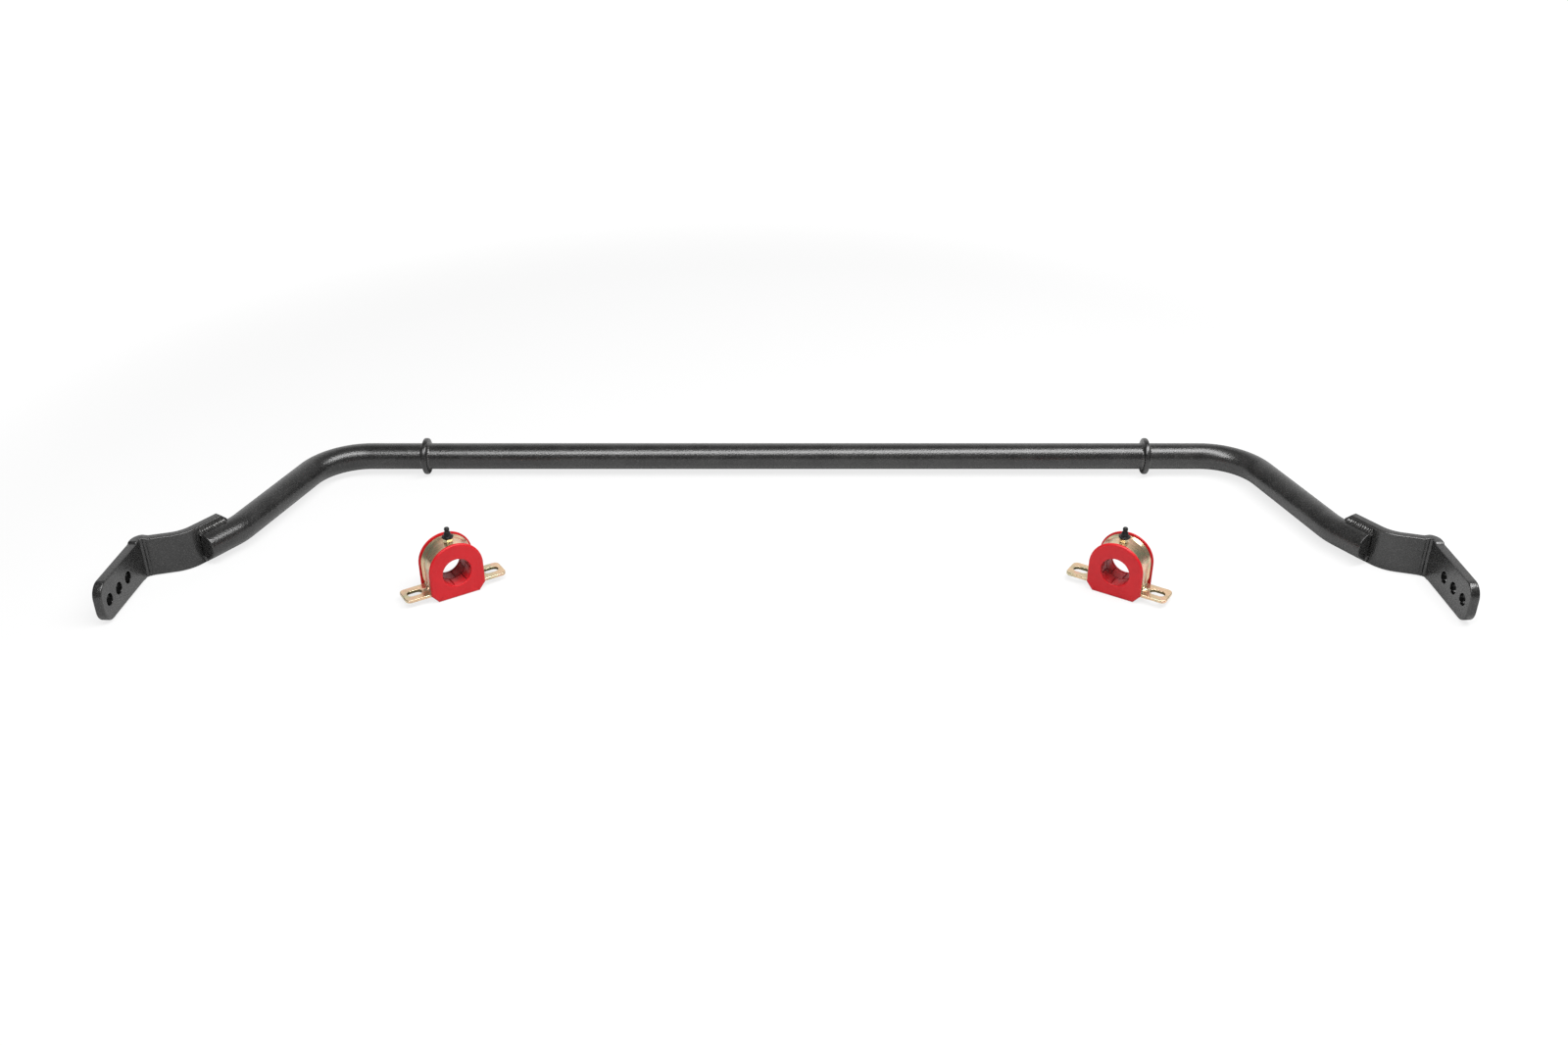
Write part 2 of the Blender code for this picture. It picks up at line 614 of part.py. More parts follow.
def build_fitting(name, mount):
    """A straight grease nipple: threaded shank, hexagon, neck and head, bored for the ball and spring."""
    neck_low, neck_high = NECK_SPAN
    outer = [
        (1.6 * PORT_RADIUS, NIPPLE_HEIGHT),
        (0.85 * HEAD_RADIUS, NIPPLE_HEIGHT - 0.0008),
        (HEAD_RADIUS, HEAD_SEAT),
        (NECK_RADIUS, neck_high),
        (NECK_RADIUS, neck_low),
        (COLLAR_RADIUS, COLLAR_TOP),
        (COLLAR_RADIUS, GAP),
        (FITTING_SHANK, GAP),
        (FITTING_SHANK, 0.0005 - FITTING_DEPTH),
        (0.85 * FITTING_SHANK, -FITTING_DEPTH),
    ]
    inner = [
        (PORT_RADIUS, -FITTING_DEPTH),
        (PORT_RADIUS, CHANNEL_FLOOR),
        (CHANNEL_RADIUS, CHANNEL_FLOOR),
        (CHANNEL_RADIUS, HEAD_SEAT),
        (PORT_RADIUS, HEAD_SEAT + BALL_RADIUS),
        (PORT_RADIUS, NIPPLE_HEIGHT),
    ]
    mesh = turned_mesh(f"{name}_grease_fitting", outer + inner, closed=True)
    mesh.transform(Matrix.Translation((0.0, 0.0, CROWN_HEIGHT)))
    fitting = add_object(f"{name}_grease_fitting", mesh, "fitting", mount)
    corner = HEX_ACROSS_FLATS / 2 / cos(pi / 6)
    hexagon = circle((0.0, 0.0), corner, 6)
    middle = Matrix.Translation((0.0, 0.0, CROWN_HEIGHT + GAP + HEX_HEIGHT / 2 - GAP / 3))
    hole = circle((0.0, 0.0), (COLLAR_RADIUS + CHANNEL_RADIUS) / 2, BORE_SIDES)
    nut = plate_mesh(f"{name}_hexagon", [hexagon, hole], HEX_HEIGHT, middle)
    combine(fitting, add_object(f"{name}_hexagon", nut, parent=mount), "UNION")
    smooth(fitting)


def build_check_ball(name, mount):
    shape = bmesh.new()
    bmesh.ops.create_icosphere(shape, subdivisions=3, radius=BALL_RADIUS)
    mesh = bpy.data.meshes.new(f"{name}_check_ball")
    shape.to_mesh(mesh)
    shape.free()
    ball = add_object(f"{name}_check_ball", mesh, "ball", mount)
    ball.location.z = CROWN_HEIGHT + HEAD_SEAT - BALL_RADIUS
    smooth(ball, 60.0)


def build_ball_spring(name, mount):
    """A coil from the channel's floor up to just under the check ball."""
    low = CROWN_HEIGHT + CHANNEL_FLOOR + SPRING_WIRE + GAP / 2
    high = CROWN_HEIGHT + HEAD_SEAT - 2 * BALL_RADIUS - SPRING_WIRE - GAP / 3
    steps = SPRING_STEPS * SPRING_TURNS
    points = []
    for i in range(steps + 1):
        angle = 2 * pi * SPRING_TURNS * i / steps
        height = low + (high - low) * i / steps
        points.append(Vector((SPRING_RADIUS * cos(angle), SPRING_RADIUS * sin(angle), height)))
    mesh = pipe_mesh(f"{name}_ball_spring", points, SPRING_WIRE, 6)
    smooth(add_object(f"{name}_ball_spring", mesh, "ball", mount), 60.0)


def build_grease_cap(name, mount):
    """A soft cap over the nipple: a brim to lift it by, a waisted body and a knob."""
    top = CAP_BASE + CAP_HEIGHT
    brim_top = CAP_BASE + CAP_BRIM_THICKNESS
    inside = COLLAR_RADIUS + GAP
    profile = [
        (0.0, top),
        (0.75 * CAP_KNOB, top - 0.0003),
        (CAP_KNOB, top - CAP_KNOB_HEIGHT / 3),
        (CAP_KNOB, top - 2 * CAP_KNOB_HEIGHT / 3),
        (CAP_WAIST, top - CAP_KNOB_HEIGHT),
        (CAP_BODY, CAP_BASE + CAP_BODY_HEIGHT),
        (CAP_BODY, brim_top),
        (CAP_BRIM, brim_top),
        (CAP_BRIM, CAP_BASE),
        (inside, CAP_BASE),
        (inside, NIPPLE_HEIGHT - 0.0010),
        (0.6 * inside, NIPPLE_HEIGHT + GAP),
        (0.0, NIPPLE_HEIGHT + 2 * GAP),
    ]
    mesh = turned_mesh(f"{name}_grease_cap", profile, closed=False)
    cap = add_object(f"{name}_grease_cap", mesh, "rubber", mount)
    cap.location.z = CROWN_HEIGHT
    smooth(cap)


def build_mounts():
    for name, side in SIDES.items():
        place = (side * MOUNT_X, AXIS_Y - MOUNT_BACK, 0.0)
        mount = add_empty(f"{name}_mount", place, -side * MOUNT_YAW)
        build_bushing(name, mount)
        build_strap(name, mount)
        build_fitting(name, mount)
        build_check_ball(name, mount)
        build_ball_spring(name, mount)
        build_grease_cap(name, mount)


build_bar()
build_mounts()
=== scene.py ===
"""Detailed visual model of a sway bar set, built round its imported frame.

Every piece is a surface worked out with numpy: a profile carried along a path, or a function of two
parameters on a grid. Sizes are in metres. Each class is one sub-assembly: its fields are its sizes, and its
methods make its meshes, dress them in a finish and hang them on the frame's bodies.
"""

from __future__ import annotations

import json
import logging
from dataclasses import dataclass, field
from enum import Enum
from typing import Callable

import bmesh
import bpy
import numpy as np
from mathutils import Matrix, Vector


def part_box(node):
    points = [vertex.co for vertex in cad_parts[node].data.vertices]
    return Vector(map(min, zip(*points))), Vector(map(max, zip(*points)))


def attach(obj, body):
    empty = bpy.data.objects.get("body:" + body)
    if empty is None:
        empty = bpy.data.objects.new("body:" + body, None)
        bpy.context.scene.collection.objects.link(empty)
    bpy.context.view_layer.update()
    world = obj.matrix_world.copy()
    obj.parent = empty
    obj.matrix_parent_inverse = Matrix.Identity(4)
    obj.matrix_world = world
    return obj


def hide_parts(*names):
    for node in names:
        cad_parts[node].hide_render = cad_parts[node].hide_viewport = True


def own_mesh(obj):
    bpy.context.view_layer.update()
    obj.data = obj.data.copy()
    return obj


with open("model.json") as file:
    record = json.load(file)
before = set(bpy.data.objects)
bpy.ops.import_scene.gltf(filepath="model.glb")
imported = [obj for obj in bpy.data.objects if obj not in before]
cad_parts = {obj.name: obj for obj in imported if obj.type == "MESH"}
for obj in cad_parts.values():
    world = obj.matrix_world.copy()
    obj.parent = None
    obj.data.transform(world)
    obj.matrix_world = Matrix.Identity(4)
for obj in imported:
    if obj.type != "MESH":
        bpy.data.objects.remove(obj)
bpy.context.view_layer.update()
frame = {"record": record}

Array = np.ndarray
Colour = tuple[float, float, float]
Place = Callable[[Array, Array, Array], Array]
log = logging.getLogger("sway_bar")

SIDES: dict[str, float] = {"left": -1.0, "right": 1.0}
MOUNT_YAW = np.radians(32.8)
MERGE_DISTANCE = 1e-6
BORDER_ROOM = 0.0003  # least distance from a station to a hole's border
FAN_RINGS = 8  # rings of faces round a hole
COVER_RINGS = 4  # rings of faces that close a flat end
STEP_WIDTH = 1e-5  # length that a square step along a tube is given


class Body(Enum):
    """The frame's bodies that pieces ride on; the ones with a blank take a side's name."""

    MOUNTS = "mounts"
    BAR = "bar"
    BRACKET = "{}_bracket"
    CAP = "{}_cap"
    BALL = "{}_ball"


class Skin(Enum):
    """The finishes of a mount's pieces."""

    POLYURETHANE = "polyurethane"
    ZINC = "zinc"
    PLATED_STEEL = "plated steel"
    RUBBER = "rubber"
    STEEL = "steel"


# ---------------------------------------------------------------- surfaces


class Draft:
    """Grids of points that together close one piece."""

    def __init__(self) -> None:
        """Starts an empty draft."""
        self._points: list[Array] = []
        self._marks: list[Array] = []
        self._faces: list[Array] = []
        self._count = 0

    def add(self, grid: Array, marks: Array | None = None, wrap: bool = False) -> None:
        """Adds the quads between neighbouring points of a grid.

        Args:
            grid: points, shaped (rows, columns, 3).
            marks: pattern place and edge mask of each point, shaped (rows, columns, 3).
            wrap: whether the last column meets the first.
        """
        rows, columns = grid.shape[:2]
        index = self._count + np.arange(rows * columns).reshape(rows, columns)
        if wrap:
            index = np.concatenate((index, index[:, :1]), axis=1)
        corners = (index[:-1, :-1], index[:-1, 1:], index[1:, 1:], index[1:, :-1])
        if marks is None:
            marks = np.zeros_like(grid)
        self._points.append(grid.reshape(-1, 3))
        self._marks.append(np.broadcast_to(marks, grid.shape).reshape(-1, 3))
        self._faces.append(np.stack(corners, axis=-1).reshape(-1, 4))
        self._count += rows * columns

    def close(self, tube: Array, stretches: int = 1) -> None:
        """Closes both ends of a tube of points: each end is shrunk onto its own middle.

        Args:
            tube: points, shaped (rows, columns, 3).
            stretches: rings of faces from each middle to its rim.
        """
        share = np.linspace(0.0, 1.0, stretches + 1)[:, None, None]
        for rim in (tube[0], tube[-1]):
            middle = rim.mean(axis=0)
            self.add(middle + (rim - middle)[None] * share, wrap=True)

    def build(self, name: str, mirror: bool = False, sharp: float = 40.0) -> bpy.types.Object:
        """Makes the piece: merges the grids' shared borders and turns every face outwards.

        Args:
            name: the object's name.
            mirror: whether to flip the piece across the plane X = 0.
            sharp: angle in degrees past which an edge stays crisp.

        Returns:
            The finished object, at the origin.
        """
        points = np.concatenate(self._points)
        marks = np.concatenate(self._marks)
        faces = np.concatenate(self._faces)
        if mirror:
            points = points * np.array((-1.0, 1.0, 1.0))
        mesh = bpy.data.meshes.new(name)
        mesh.from_pydata(points.tolist(), [], faces.tolist())
        layer = mesh.uv_layers.new(name="pattern")
        layer.data.foreach_set("uv", marks[faces.ravel(), :2].astype(np.float32).ravel())
        edge = mesh.attributes.new("edge", "FLOAT", "POINT")
        edge.data.foreach_set("value", marks[:, 2].astype(np.float32))
        shape = bmesh.new()
        shape.from_mesh(mesh)
        bmesh.ops.remove_doubles(shape, verts=shape.verts, dist=MERGE_DISTANCE)
        bmesh.ops.dissolve_degenerate(shape, edges=shape.edges, dist=MERGE_DISTANCE / 10)
        bmesh.ops.recalc_face_normals(shape, faces=shape.faces)
        shape.to_mesh(mesh)
        shape.free()
        mesh.shade_smooth()
        mesh.set_sharp_from_angle(angle=np.radians(sharp))
        piece = bpy.data.objects.new(name, mesh)
        bpy.context.scene.collection.objects.link(piece)
        return piece


def smooth_step(values: Array) -> Array:
    """Rises from 0 to 1 as its argument does: three squares less two cubes."""
    clipped = np.clip(values, 0.0, 1.0)
    return clipped * clipped * (3.0 - 2.0 * clipped)


def grid_of(first: Array, second: Array, third: Array) -> Array:
    """Stacks three arrays of one shape into points."""
    return np.stack(np.broadcast_arrays(first, second, third), axis=-1)


def outward(loop: Array) -> Array:
    """Unit normals of a closed loop listed clockwise: its direction turned a quarter left."""
    along = np.roll(loop, -1, axis=0) - np.roll(loop, 1, axis=0)
    along /= np.linalg.norm(along, axis=1, keepdims=True)
    return np.stack((-along[:, 1], along[:, 0]), axis=1)


def edge_profile(half: float, fillet: float, steps: int = 5) -> tuple[Array, Array, Array]:
    """A plate's edge seen end on: two quarter rounds and the straight between them.

    Args:
        half: half of the thickness.
        fillet: radius of the quarter rounds.
        steps: stretches in each round.

    Returns:
        Inset, depth and edge mask of each point, from one face to the other.
    """
    turn = np.linspace(0.0, np.pi / 2, steps + 1)
    inset = fillet * (1.0 - np.sin(turn))
    depth = -half + fillet * (1.0 - np.cos(turn))
    mask = np.sin(2.0 * turn)
    return np.append(inset, inset[::-1]), np.append(depth, -depth[::-1]), np.append(mask, mask[::-1])


def clear_stations(stations: Array, low: float, high: float, borders: Array) -> Array:
    """Keeps the stations of a stretch that are clear of the holes' borders, and adds those borders.

    Args:
        stations: distances along a bar.
        low: where the stretch starts.
        high: where it ends.
        borders: distances that must be stations themselves.

    Returns:
        The stations, not yet in order.
    """
    kept = stations[(stations > low) & (stations < high)]
    nearest = np.min(np.abs(kept[:, None] - borders[None]), axis=1)
    return np.append(kept[nearest > BORDER_ROOM], borders)


def in_order(*stretches: Array) -> Array:
    """Joins stretches of stations, sorted and without repeats."""
    return np.unique(np.round(np.concatenate(stretches), 7))


def rounded(corners: list[tuple[float, float, float]], steps: int = 6) -> Array:
    """A profile whose corners are eased: each is a parabola between points set back along its two sides.

    Args:
        corners: across, height and set-back of each corner.
        steps: stretches along each eased corner.

    Returns:
        The profile's points, shaped (points, 2).
    """
    table = np.array(corners)
    spots = table[:, :2]
    share = np.linspace(0.0, 1.0, steps + 1)[:, None]
    pieces = [spots[:1]]
    for before, here, after, back in zip(spots, spots[1:], spots[2:], table[1:-1, 2]):
        if back == 0.0:
            pieces.append(here[None, :])
            continue
        start = here + (before - here) * min(0.5, back / np.linalg.norm(before - here))
        end = here + (after - here) * min(0.5, back / np.linalg.norm(after - here))
        pieces.append((1 - share) ** 2 * start + 2 * share * (1 - share) * here + share**2 * end)
    pieces.append(spots[-1:])
    return np.concatenate(pieces)


@dataclass
class Run:
    """A middle line made of straights and round bends between them, in a plane.

    A heading is the angle of travel from the first axis towards minus the second one. It is constant along a
    straight and changes evenly along a bend, and the line is the sum of its steps along the heading.
    """

    start: tuple[float, float]
    headings: tuple[float, ...]
    straights: tuple[float, ...]
    radii: tuple[float, ...]
    knots: Array = field(init=False)
    table: Array = field(init=False)

    TABLE_STEPS = 24001

    @classmethod
    def between(cls, start: tuple[float, float], headings: tuple[float, ...],
                spacings: tuple[float, ...], radii: tuple[float, ...]) -> Run:
        """Makes a run from the distances between its sharp corners.

        Args:
            start: where the run begins.
            headings: heading of each straight, in radians.
            spacings: distance from corner to corner along each straight.
            radii: radius of each bend.

        Returns:
            The run. Each straight is shortened by what its bends take: radius times the tangent of half the
            turn.
        """
        taken = np.array(radii) * np.tan(np.abs(np.diff(headings)) / 2.0)
        straights = np.array(spacings, dtype=float)
        straights[:-1] -= taken
        straights[1:] -= taken
        return cls(start, headings, tuple(straights), radii)

    def __post_init__(self) -> None:
        """Works out the table of places along the run."""
        turns = np.abs(np.diff(self.headings))
        stretches = np.zeros(2 * len(self.straights) - 1)
        stretches[0::2] = self.straights
        stretches[1::2] = np.array(self.radii) * turns
        self.knots = np.append(0.0, np.cumsum(stretches))
        along = np.linspace(0.0, self.knots[-1], self.TABLE_STEPS)
        heading = self.heading(along)
        step = along[1]
        first = np.append(0.0, np.cumsum((np.cos(heading[1:]) + np.cos(heading[:-1])) * step / 2))
        second = -np.append(0.0, np.cumsum((np.sin(heading[1:]) + np.sin(heading[:-1])) * step / 2))
        self.table = np.stack((along, self.start[0] + first, self.start[1] + second))

    @property
    def length(self) -> float:
        """Length of the middle line."""
        return float(self.knots[-1])

    def heading(self, along: Array) -> Array:
        """Heading at each distance along the run."""
        return np.interp(along, self.knots, np.repeat(self.headings, 2))

    def at(self, along: Array, offset: Array) -> tuple[Array, Array]:
        """Places at distances along the run, moved off it to its left, the outer side."""
        heading = self.heading(along)
        first = np.interp(along, self.table[0], self.table[1]) + offset * np.sin(heading)
        second = np.interp(along, self.table[0], self.table[2]) + offset * np.cos(heading)
        return first, second

    def stations(self, straight_step: float, bend_step: float) -> Array:
        """Distances along the run, closer together in the bends."""
        parts = []
        for number, (low, high) in enumerate(zip(self.knots[:-1], self.knots[1:])):
            step = bend_step if number % 2 else straight_step
            parts.append(np.linspace(low, high, max(2, int(np.ceil((high - low) / step)) + 1))[:-1])
        return np.append(np.concatenate(parts), self.knots[-1])


@dataclass(frozen=True)
class Hole:
    """A round hole or a slot in a flat bar."""

    centre: float  # distance along the bar
    radius: float
    before: float  # how far its border starts before the centre
    after: float  # and ends after it
    straight: float = 0.0  # half of the slot's straight sides
    fillet: float = 0.0004

    def ray(self, angle: Array, grow: Array | float = 0.0) -> Array:
        """Distance from the centre to the wall at each polar angle.

        The wall is a flat side where the ray meets one, otherwise the slot's round end.
        """
        radius = self.radius + grow
        sine = np.abs(np.sin(angle)) + 1e-12
        cosine = np.abs(np.cos(angle))
        flat = radius / sine
        end = self.straight * cosine + np.sqrt(np.maximum(radius**2 - (self.straight * sine) ** 2, 0.0))
        return np.where(flat * cosine <= self.straight, flat, end)


@dataclass(frozen=True)
class FlatBar:
    """A flat bar as drawn before it is bent: rounded edges, shaped ends and holes."""

    stations: Array  # distances along the bar, from end to end
    half_widths: Array  # at each station
    thickness: float
    fillet: float
    holes: tuple[Hole, ...] = ()
    columns: int = 24

    def draft(self, place: Place) -> Draft:
        """Makes the bar's closed surface.

        The edge is a profile carried round the outline. Each face is ruled across the bar between the two
        sides of the outline, and round a hole it is a fan from the hole's wall to the ruling's border.

        Args:
            place: puts arrays of distance along, across and off the middle plane where they belong.

        Returns:
            The draft of the bar.
        """
        share = np.linspace(-1.0, 1.0, self.columns + 1)
        top = np.stack((self.stations, self.half_widths), axis=1)
        first, last = (end * np.stack((np.ones(self.columns - 1), share[1:-1]), axis=1)
                       for end in (top[0], top[-1]))
        loop = np.concatenate((top, last[::-1], top[::-1] * (1.0, -1.0), first))
        normal = outward(loop)
        inset, depth, mask = edge_profile(self.thickness / 2, self.fillet)
        border = loop[None] - inset[:, None, None] * normal[None]
        draft = Draft()
        self._add(draft, place, border, depth[:, None], mask[:, None], wrap=True)

        count = len(top)
        inner = border[0]
        high = inner[:count]
        low = inner[count + self.columns - 1:2 * count + self.columns - 1][::-1]
        face = low[:, None] + (high - low)[:, None] * ((share + 1) / 2)[None, :, None]
        face[-1, 1:-1] = inner[count:count + self.columns - 1][::-1]
        face[0, 1:-1] = inner[2 * count + self.columns - 1:]
        begin = 0
        for hole in self.holes:
            start = int(np.argmin(np.abs(self.stations - hole.centre + hole.before)))
            stop = int(np.argmin(np.abs(self.stations - hole.centre - hole.after)))
            self._add_faces(draft, place, face[begin:start + 1])
            self._add_hole(draft, place, hole, face[start:stop + 1])
            begin = stop
        self._add_faces(draft, place, face[begin:])
        return draft

    def _add(self, draft: Draft, place: Place, flat: Array, depth: Array | float,
             mask: Array | float, wrap: bool = False) -> None:
        """Adds one grid of flat points at their depths."""
        along, across = flat[..., 0], flat[..., 1]
        marks = grid_of(along, across, np.broadcast_to(mask, along.shape))
        draft.add(place(along, across, np.broadcast_to(depth, along.shape)), marks, wrap)

    def _add_faces(self, draft: Draft, place: Place, flat: Array) -> None:
        """Adds the same stretch of both faces."""
        if len(flat) > 1:
            for side in (-0.5, 0.5):
                self._add(draft, place, flat, side * self.thickness, 0.0)

    def _add_hole(self, draft: Draft, place: Place, hole: Hole, cell: Array) -> None:
        """Adds a hole's wall and the fan round it on both faces."""
        rim = np.concatenate((cell[:, 0], cell[-1, 1:], cell[:-1, -1][::-1], cell[0, 1:-1][::-1]))
        centre = np.array((hole.centre, 0.0))
        angle = np.arctan2(rim[:, 1], rim[:, 0] - hole.centre)
        facing = np.stack((np.cos(angle), np.sin(angle)), axis=1)
        inset, depth, mask = edge_profile(self.thickness / 2, hole.fillet, 3)
        mask = mask - 1.0 * (inset < hole.fillet / 3)  # the wall proper gets painted shade through a negative edge mask
        wall = centre + hole.ray(angle[None], inset[:, None])[..., None] * facing[None]
        self._add(draft, place, wall, depth[:, None], mask[:, None], wrap=True)
        share = np.linspace(0.0, 1.0, FAN_RINGS + 1)[:, None, None]
        fan = wall[0] + (rim - wall[0]) * share
        for side in (-0.5, 0.5):
            self._add(draft, place, fan, side * self.thickness, 0.0, wrap=True)


def turned(draft: Draft, profile: Array, place: Place, sides: int = 64,
           reshape: Callable[[Array, Array, Array], Array] | None = None) -> None:
    """Adds a surface of revolution: each point of a profile carried round a full circle.

    Args:
        draft: the draft to add to.
        profile: radius and height of each point.
        place: puts arrays of the three local coordinates where they belong.
        sides: points round the circle.
        reshape: gives a new radius from radius, angle and height.
    """
    angle = np.linspace(0.0, 2 * np.pi, sides, endpoint=False)[None]
    radius = profile[:, :1] * np.ones_like(angle)
    height = profile[:, 1:] * np.ones_like(angle)
    if reshape is not None:
        radius = reshape(radius, angle, height)
    draft.add(place(radius * np.cos(angle), radius * np.sin(angle), height), wrap=True)


def disc_with_edge(draft: Draft, loop: Array, low: float, high: float, fillet: float, place: Place) -> None:
    """Adds a solid slice of a clockwise loop, with one eased edge and faces that close on its middle.

    Args:
        draft: the draft to add to.
        loop: the slice's outline, shaped (points, 2).
        low: depth of one face.
        high: depth of the other.
        fillet: radius of the edge of its high face.
        place: puts arrays of the outline's two coordinates and the depth where they belong.
    """
    middle = loop.mean(axis=0)
    inset, depth, mask = edge_profile((high - low) / 2, fillet)
    under = depth < 0
    inset = np.where(under, 0.0, inset)
    depth = np.where(under, (low - high) / 2, depth)
    mask = mask * ~under
    band = loop[None] - inset[:, None, None] * outward(loop)[None]
    depth = depth + (high + low) / 2
    share = np.linspace(0.0, 1.0, COVER_RINGS + 1)[:-1, None, None]
    cover = middle + (band[0] - middle) * share
    rows = np.concatenate((cover, band, cover[::-1]))
    depths = np.pad(depth, COVER_RINGS, constant_values=((low, high),))[:, None]
    masks = np.pad(mask, COVER_RINGS)[:, None]
    first, second = rows[..., 0], rows[..., 1]
    grid = place(first, second, np.broadcast_to(depths, first.shape))
    draft.add(grid, grid_of(first, second, masks), wrap=True)


# ---------------------------------------------------------------- shader graphs


class Graph:
    """A thin hand for adding and linking shader nodes."""

    def __init__(self, tree: bpy.types.NodeTree) -> None:
        """Takes the node tree to work in."""
        self.tree = tree

    def feed(self, socket: bpy.types.NodeSocket, value: object) -> None:
        """Links another node's socket to a socket, or sets its value."""
        if isinstance(value, bpy.types.NodeSocket):
            self.tree.links.new(value, socket)
        elif socket.type == "RGBA":
            socket.default_value = (*value, 1.0)
        else:
            socket.default_value = value

    def add(self, kind: str, inputs: dict[str | int, object] | None = None,
            **settings: object) -> bpy.types.Node:
        """Adds a node.

        Args:
            kind: the node's type name without its ShaderNode prefix.
            inputs: a value or a socket for each named or numbered input.
            settings: the node's own properties.

        Returns:
            The node.
        """
        node = self.tree.nodes.new("ShaderNode" + kind)
        for key, value in settings.items():
            setattr(node, key, value)
        for key, value in (inputs or {}).items():
            self.feed(node.inputs[key], value)
        return node

    def math(self, operation: str, first: object, second: object = 0.0,
             clamp: bool = False) -> bpy.types.NodeSocket:
        """Adds one sum of two values and gives its result."""
        return self.add("Math", {0: first, 1: second}, operation=operation, use_clamp=clamp).outputs[0]

    def fit(self, value: object, low: float, high: float, to_low: float = 0.0,
            to_high: float = 1.0) -> bpy.types.NodeSocket:
        """Maps a range of values smoothly onto another."""
        node = self.add("MapRange", {"Value": value, "From Min": low, "From Max": high,
                                     "To Min": to_low, "To Max": to_high}, interpolation_type="SMOOTHSTEP")
        return node.outputs["Result"]

    def mix(self, share: object, first: object, second: object) -> bpy.types.NodeSocket:
        """Blends two colours by a share from 0 to 1."""
        colours = {0: share, 6: first, 7: second}
        return self.add("Mix", colours, data_type="RGBA").outputs[2]


def new_group(name: str, inputs: dict[str, tuple[str, object]],
              outputs: dict[str, str]) -> tuple[bpy.types.NodeTree, Graph, bpy.types.Node, bpy.types.Node]:
    """Makes an empty shader node group.

    Args:
        name: the group's name.
        inputs: socket kind and default value of each input.
        outputs: socket kind of each output.

    Returns:
        The group, a graph on it, its input node and its output node.
    """
    tree = bpy.data.node_groups.new(name, "ShaderNodeTree")
    for label, (kind, value) in inputs.items():
        socket = tree.interface.new_socket(name=label, in_out="INPUT", socket_type="NodeSocket" + kind)
        if value is not None:
            socket.default_value = value
    for label, kind in outputs.items():
        tree.interface.new_socket(name=label, in_out="OUTPUT", socket_type="NodeSocket" + kind)
    return tree, Graph(tree), tree.nodes.new("NodeGroupInput"), tree.nodes.new("NodeGroupOutput")


def grain_group() -> bpy.types.NodeTree:
    """Fine cells under a slow drift: a height, and a fleck mask that is bright on the cells' crowns."""
    tree, graph, source, sink = new_group(
        "surface_grain",
        {"Vector": ("Vector", None), "Cells per Metre": ("Float", 600.0), "Drift per Metre": ("Float", 40.0)},
        {"Height": "Float", "Fleck": "Float", "Drift": "Float"})
    place = source.outputs["Vector"]
    warp = graph.add("TexNoise", {"Vector": place, "Scale": source.outputs["Cells per Metre"],
                                  "Detail": 2.0, "Roughness": 0.6})
    cells = graph.add("TexVoronoi", {"Vector": place, "Scale": source.outputs["Cells per Metre"],
                                     "Smoothness": 0.6}, feature="SMOOTH_F1")
    drift = graph.add("TexNoise", {"Vector": place, "Scale": source.outputs["Drift per Metre"],
                                   "Detail": 3.0})
    crown = graph.fit(cells.outputs["Distance"], 0.15, 0.75, 1.0, 0.0)
    height = graph.math("ADD", crown, graph.math("MULTIPLY", warp.outputs["Fac"], 0.9))
    fleck = graph.math("MULTIPLY", graph.fit(warp.outputs["Fac"], 0.42, 0.66), crown)
    for socket, value in (("Height", height), ("Fleck", fleck), ("Drift", drift.outputs["Fac"])):
        tree.links.new(value, sink.inputs[socket])
    return tree


def brush_group() -> bpy.types.NodeTree:
    """Fine scratches drawn out along the pattern's first direction: a height and a shade."""
    tree, graph, source, sink = new_group(
        "brushed_lines",
        {"Vector": ("Vector", None), "Lines per Metre": ("Float", 3000.0), "Stretch": ("Float", 0.03)},
        {"Height": "Float", "Shade": "Float"})
    stretch = graph.add("CombineXYZ", {"X": source.outputs["Stretch"], "Y": 1.0, "Z": 1.0})
    drawn = graph.add("VectorMath", {0: source.outputs["Vector"], 1: stretch.outputs[0]},
                      operation="MULTIPLY")
    lines = graph.add("TexNoise", {"Vector": drawn.outputs[0], "Scale": source.outputs["Lines per Metre"],
                                   "Detail": 3.0, "Roughness": 0.65})
    broad = graph.math("MULTIPLY", source.outputs["Lines per Metre"], 0.22)
    bands = graph.add("TexNoise", {"Vector": drawn.outputs[0], "Scale": broad, "Detail": 2.0})
    shade = graph.math("ADD", graph.math("MULTIPLY", lines.outputs["Fac"], 0.5),
                       graph.math("MULTIPLY", bands.outputs["Fac"], 0.5))
    tree.links.new(lines.outputs["Fac"], sink.inputs["Height"])
    tree.links.new(shade, sink.inputs["Shade"])
    return tree


def wear_and_shade_group() -> bpy.types.NodeTree:
    """Rubbed edges, broken up by noise, and painted shade in hollows: the two signs of one painted mask."""
    tree, graph, source, sink = new_group(
        "edge_wear",
        {"Vector": ("Vector", None), "Amount": ("Float", 0.5), "Patches per Metre": ("Float", 150.0)},
        {"Mask": "Float", "Hollow": "Float"})
    edge = graph.add("Attribute", attribute_name="edge")
    noise = graph.add("TexNoise", {"Vector": source.outputs["Vector"],
                                   "Scale": source.outputs["Patches per Metre"], "Detail": 4.0})
    broken = graph.math("MULTIPLY", edge.outputs["Fac"], graph.fit(noise.outputs["Fac"], 0.30, 0.70))
    mask = graph.math("MULTIPLY", broken, source.outputs["Amount"], clamp=True)
    tree.links.new(mask, sink.inputs["Mask"])
    # the negative side of the edge mask is painted shade on hole walls and the bore
    tree.links.new(graph.math("MULTIPLY", edge.outputs["Fac"], -1.0, clamp=True), sink.inputs["Hollow"])
    return tree


GRAIN = grain_group()
BRUSH = brush_group()
WEAR_AND_SHADE = wear_and_shade_group()


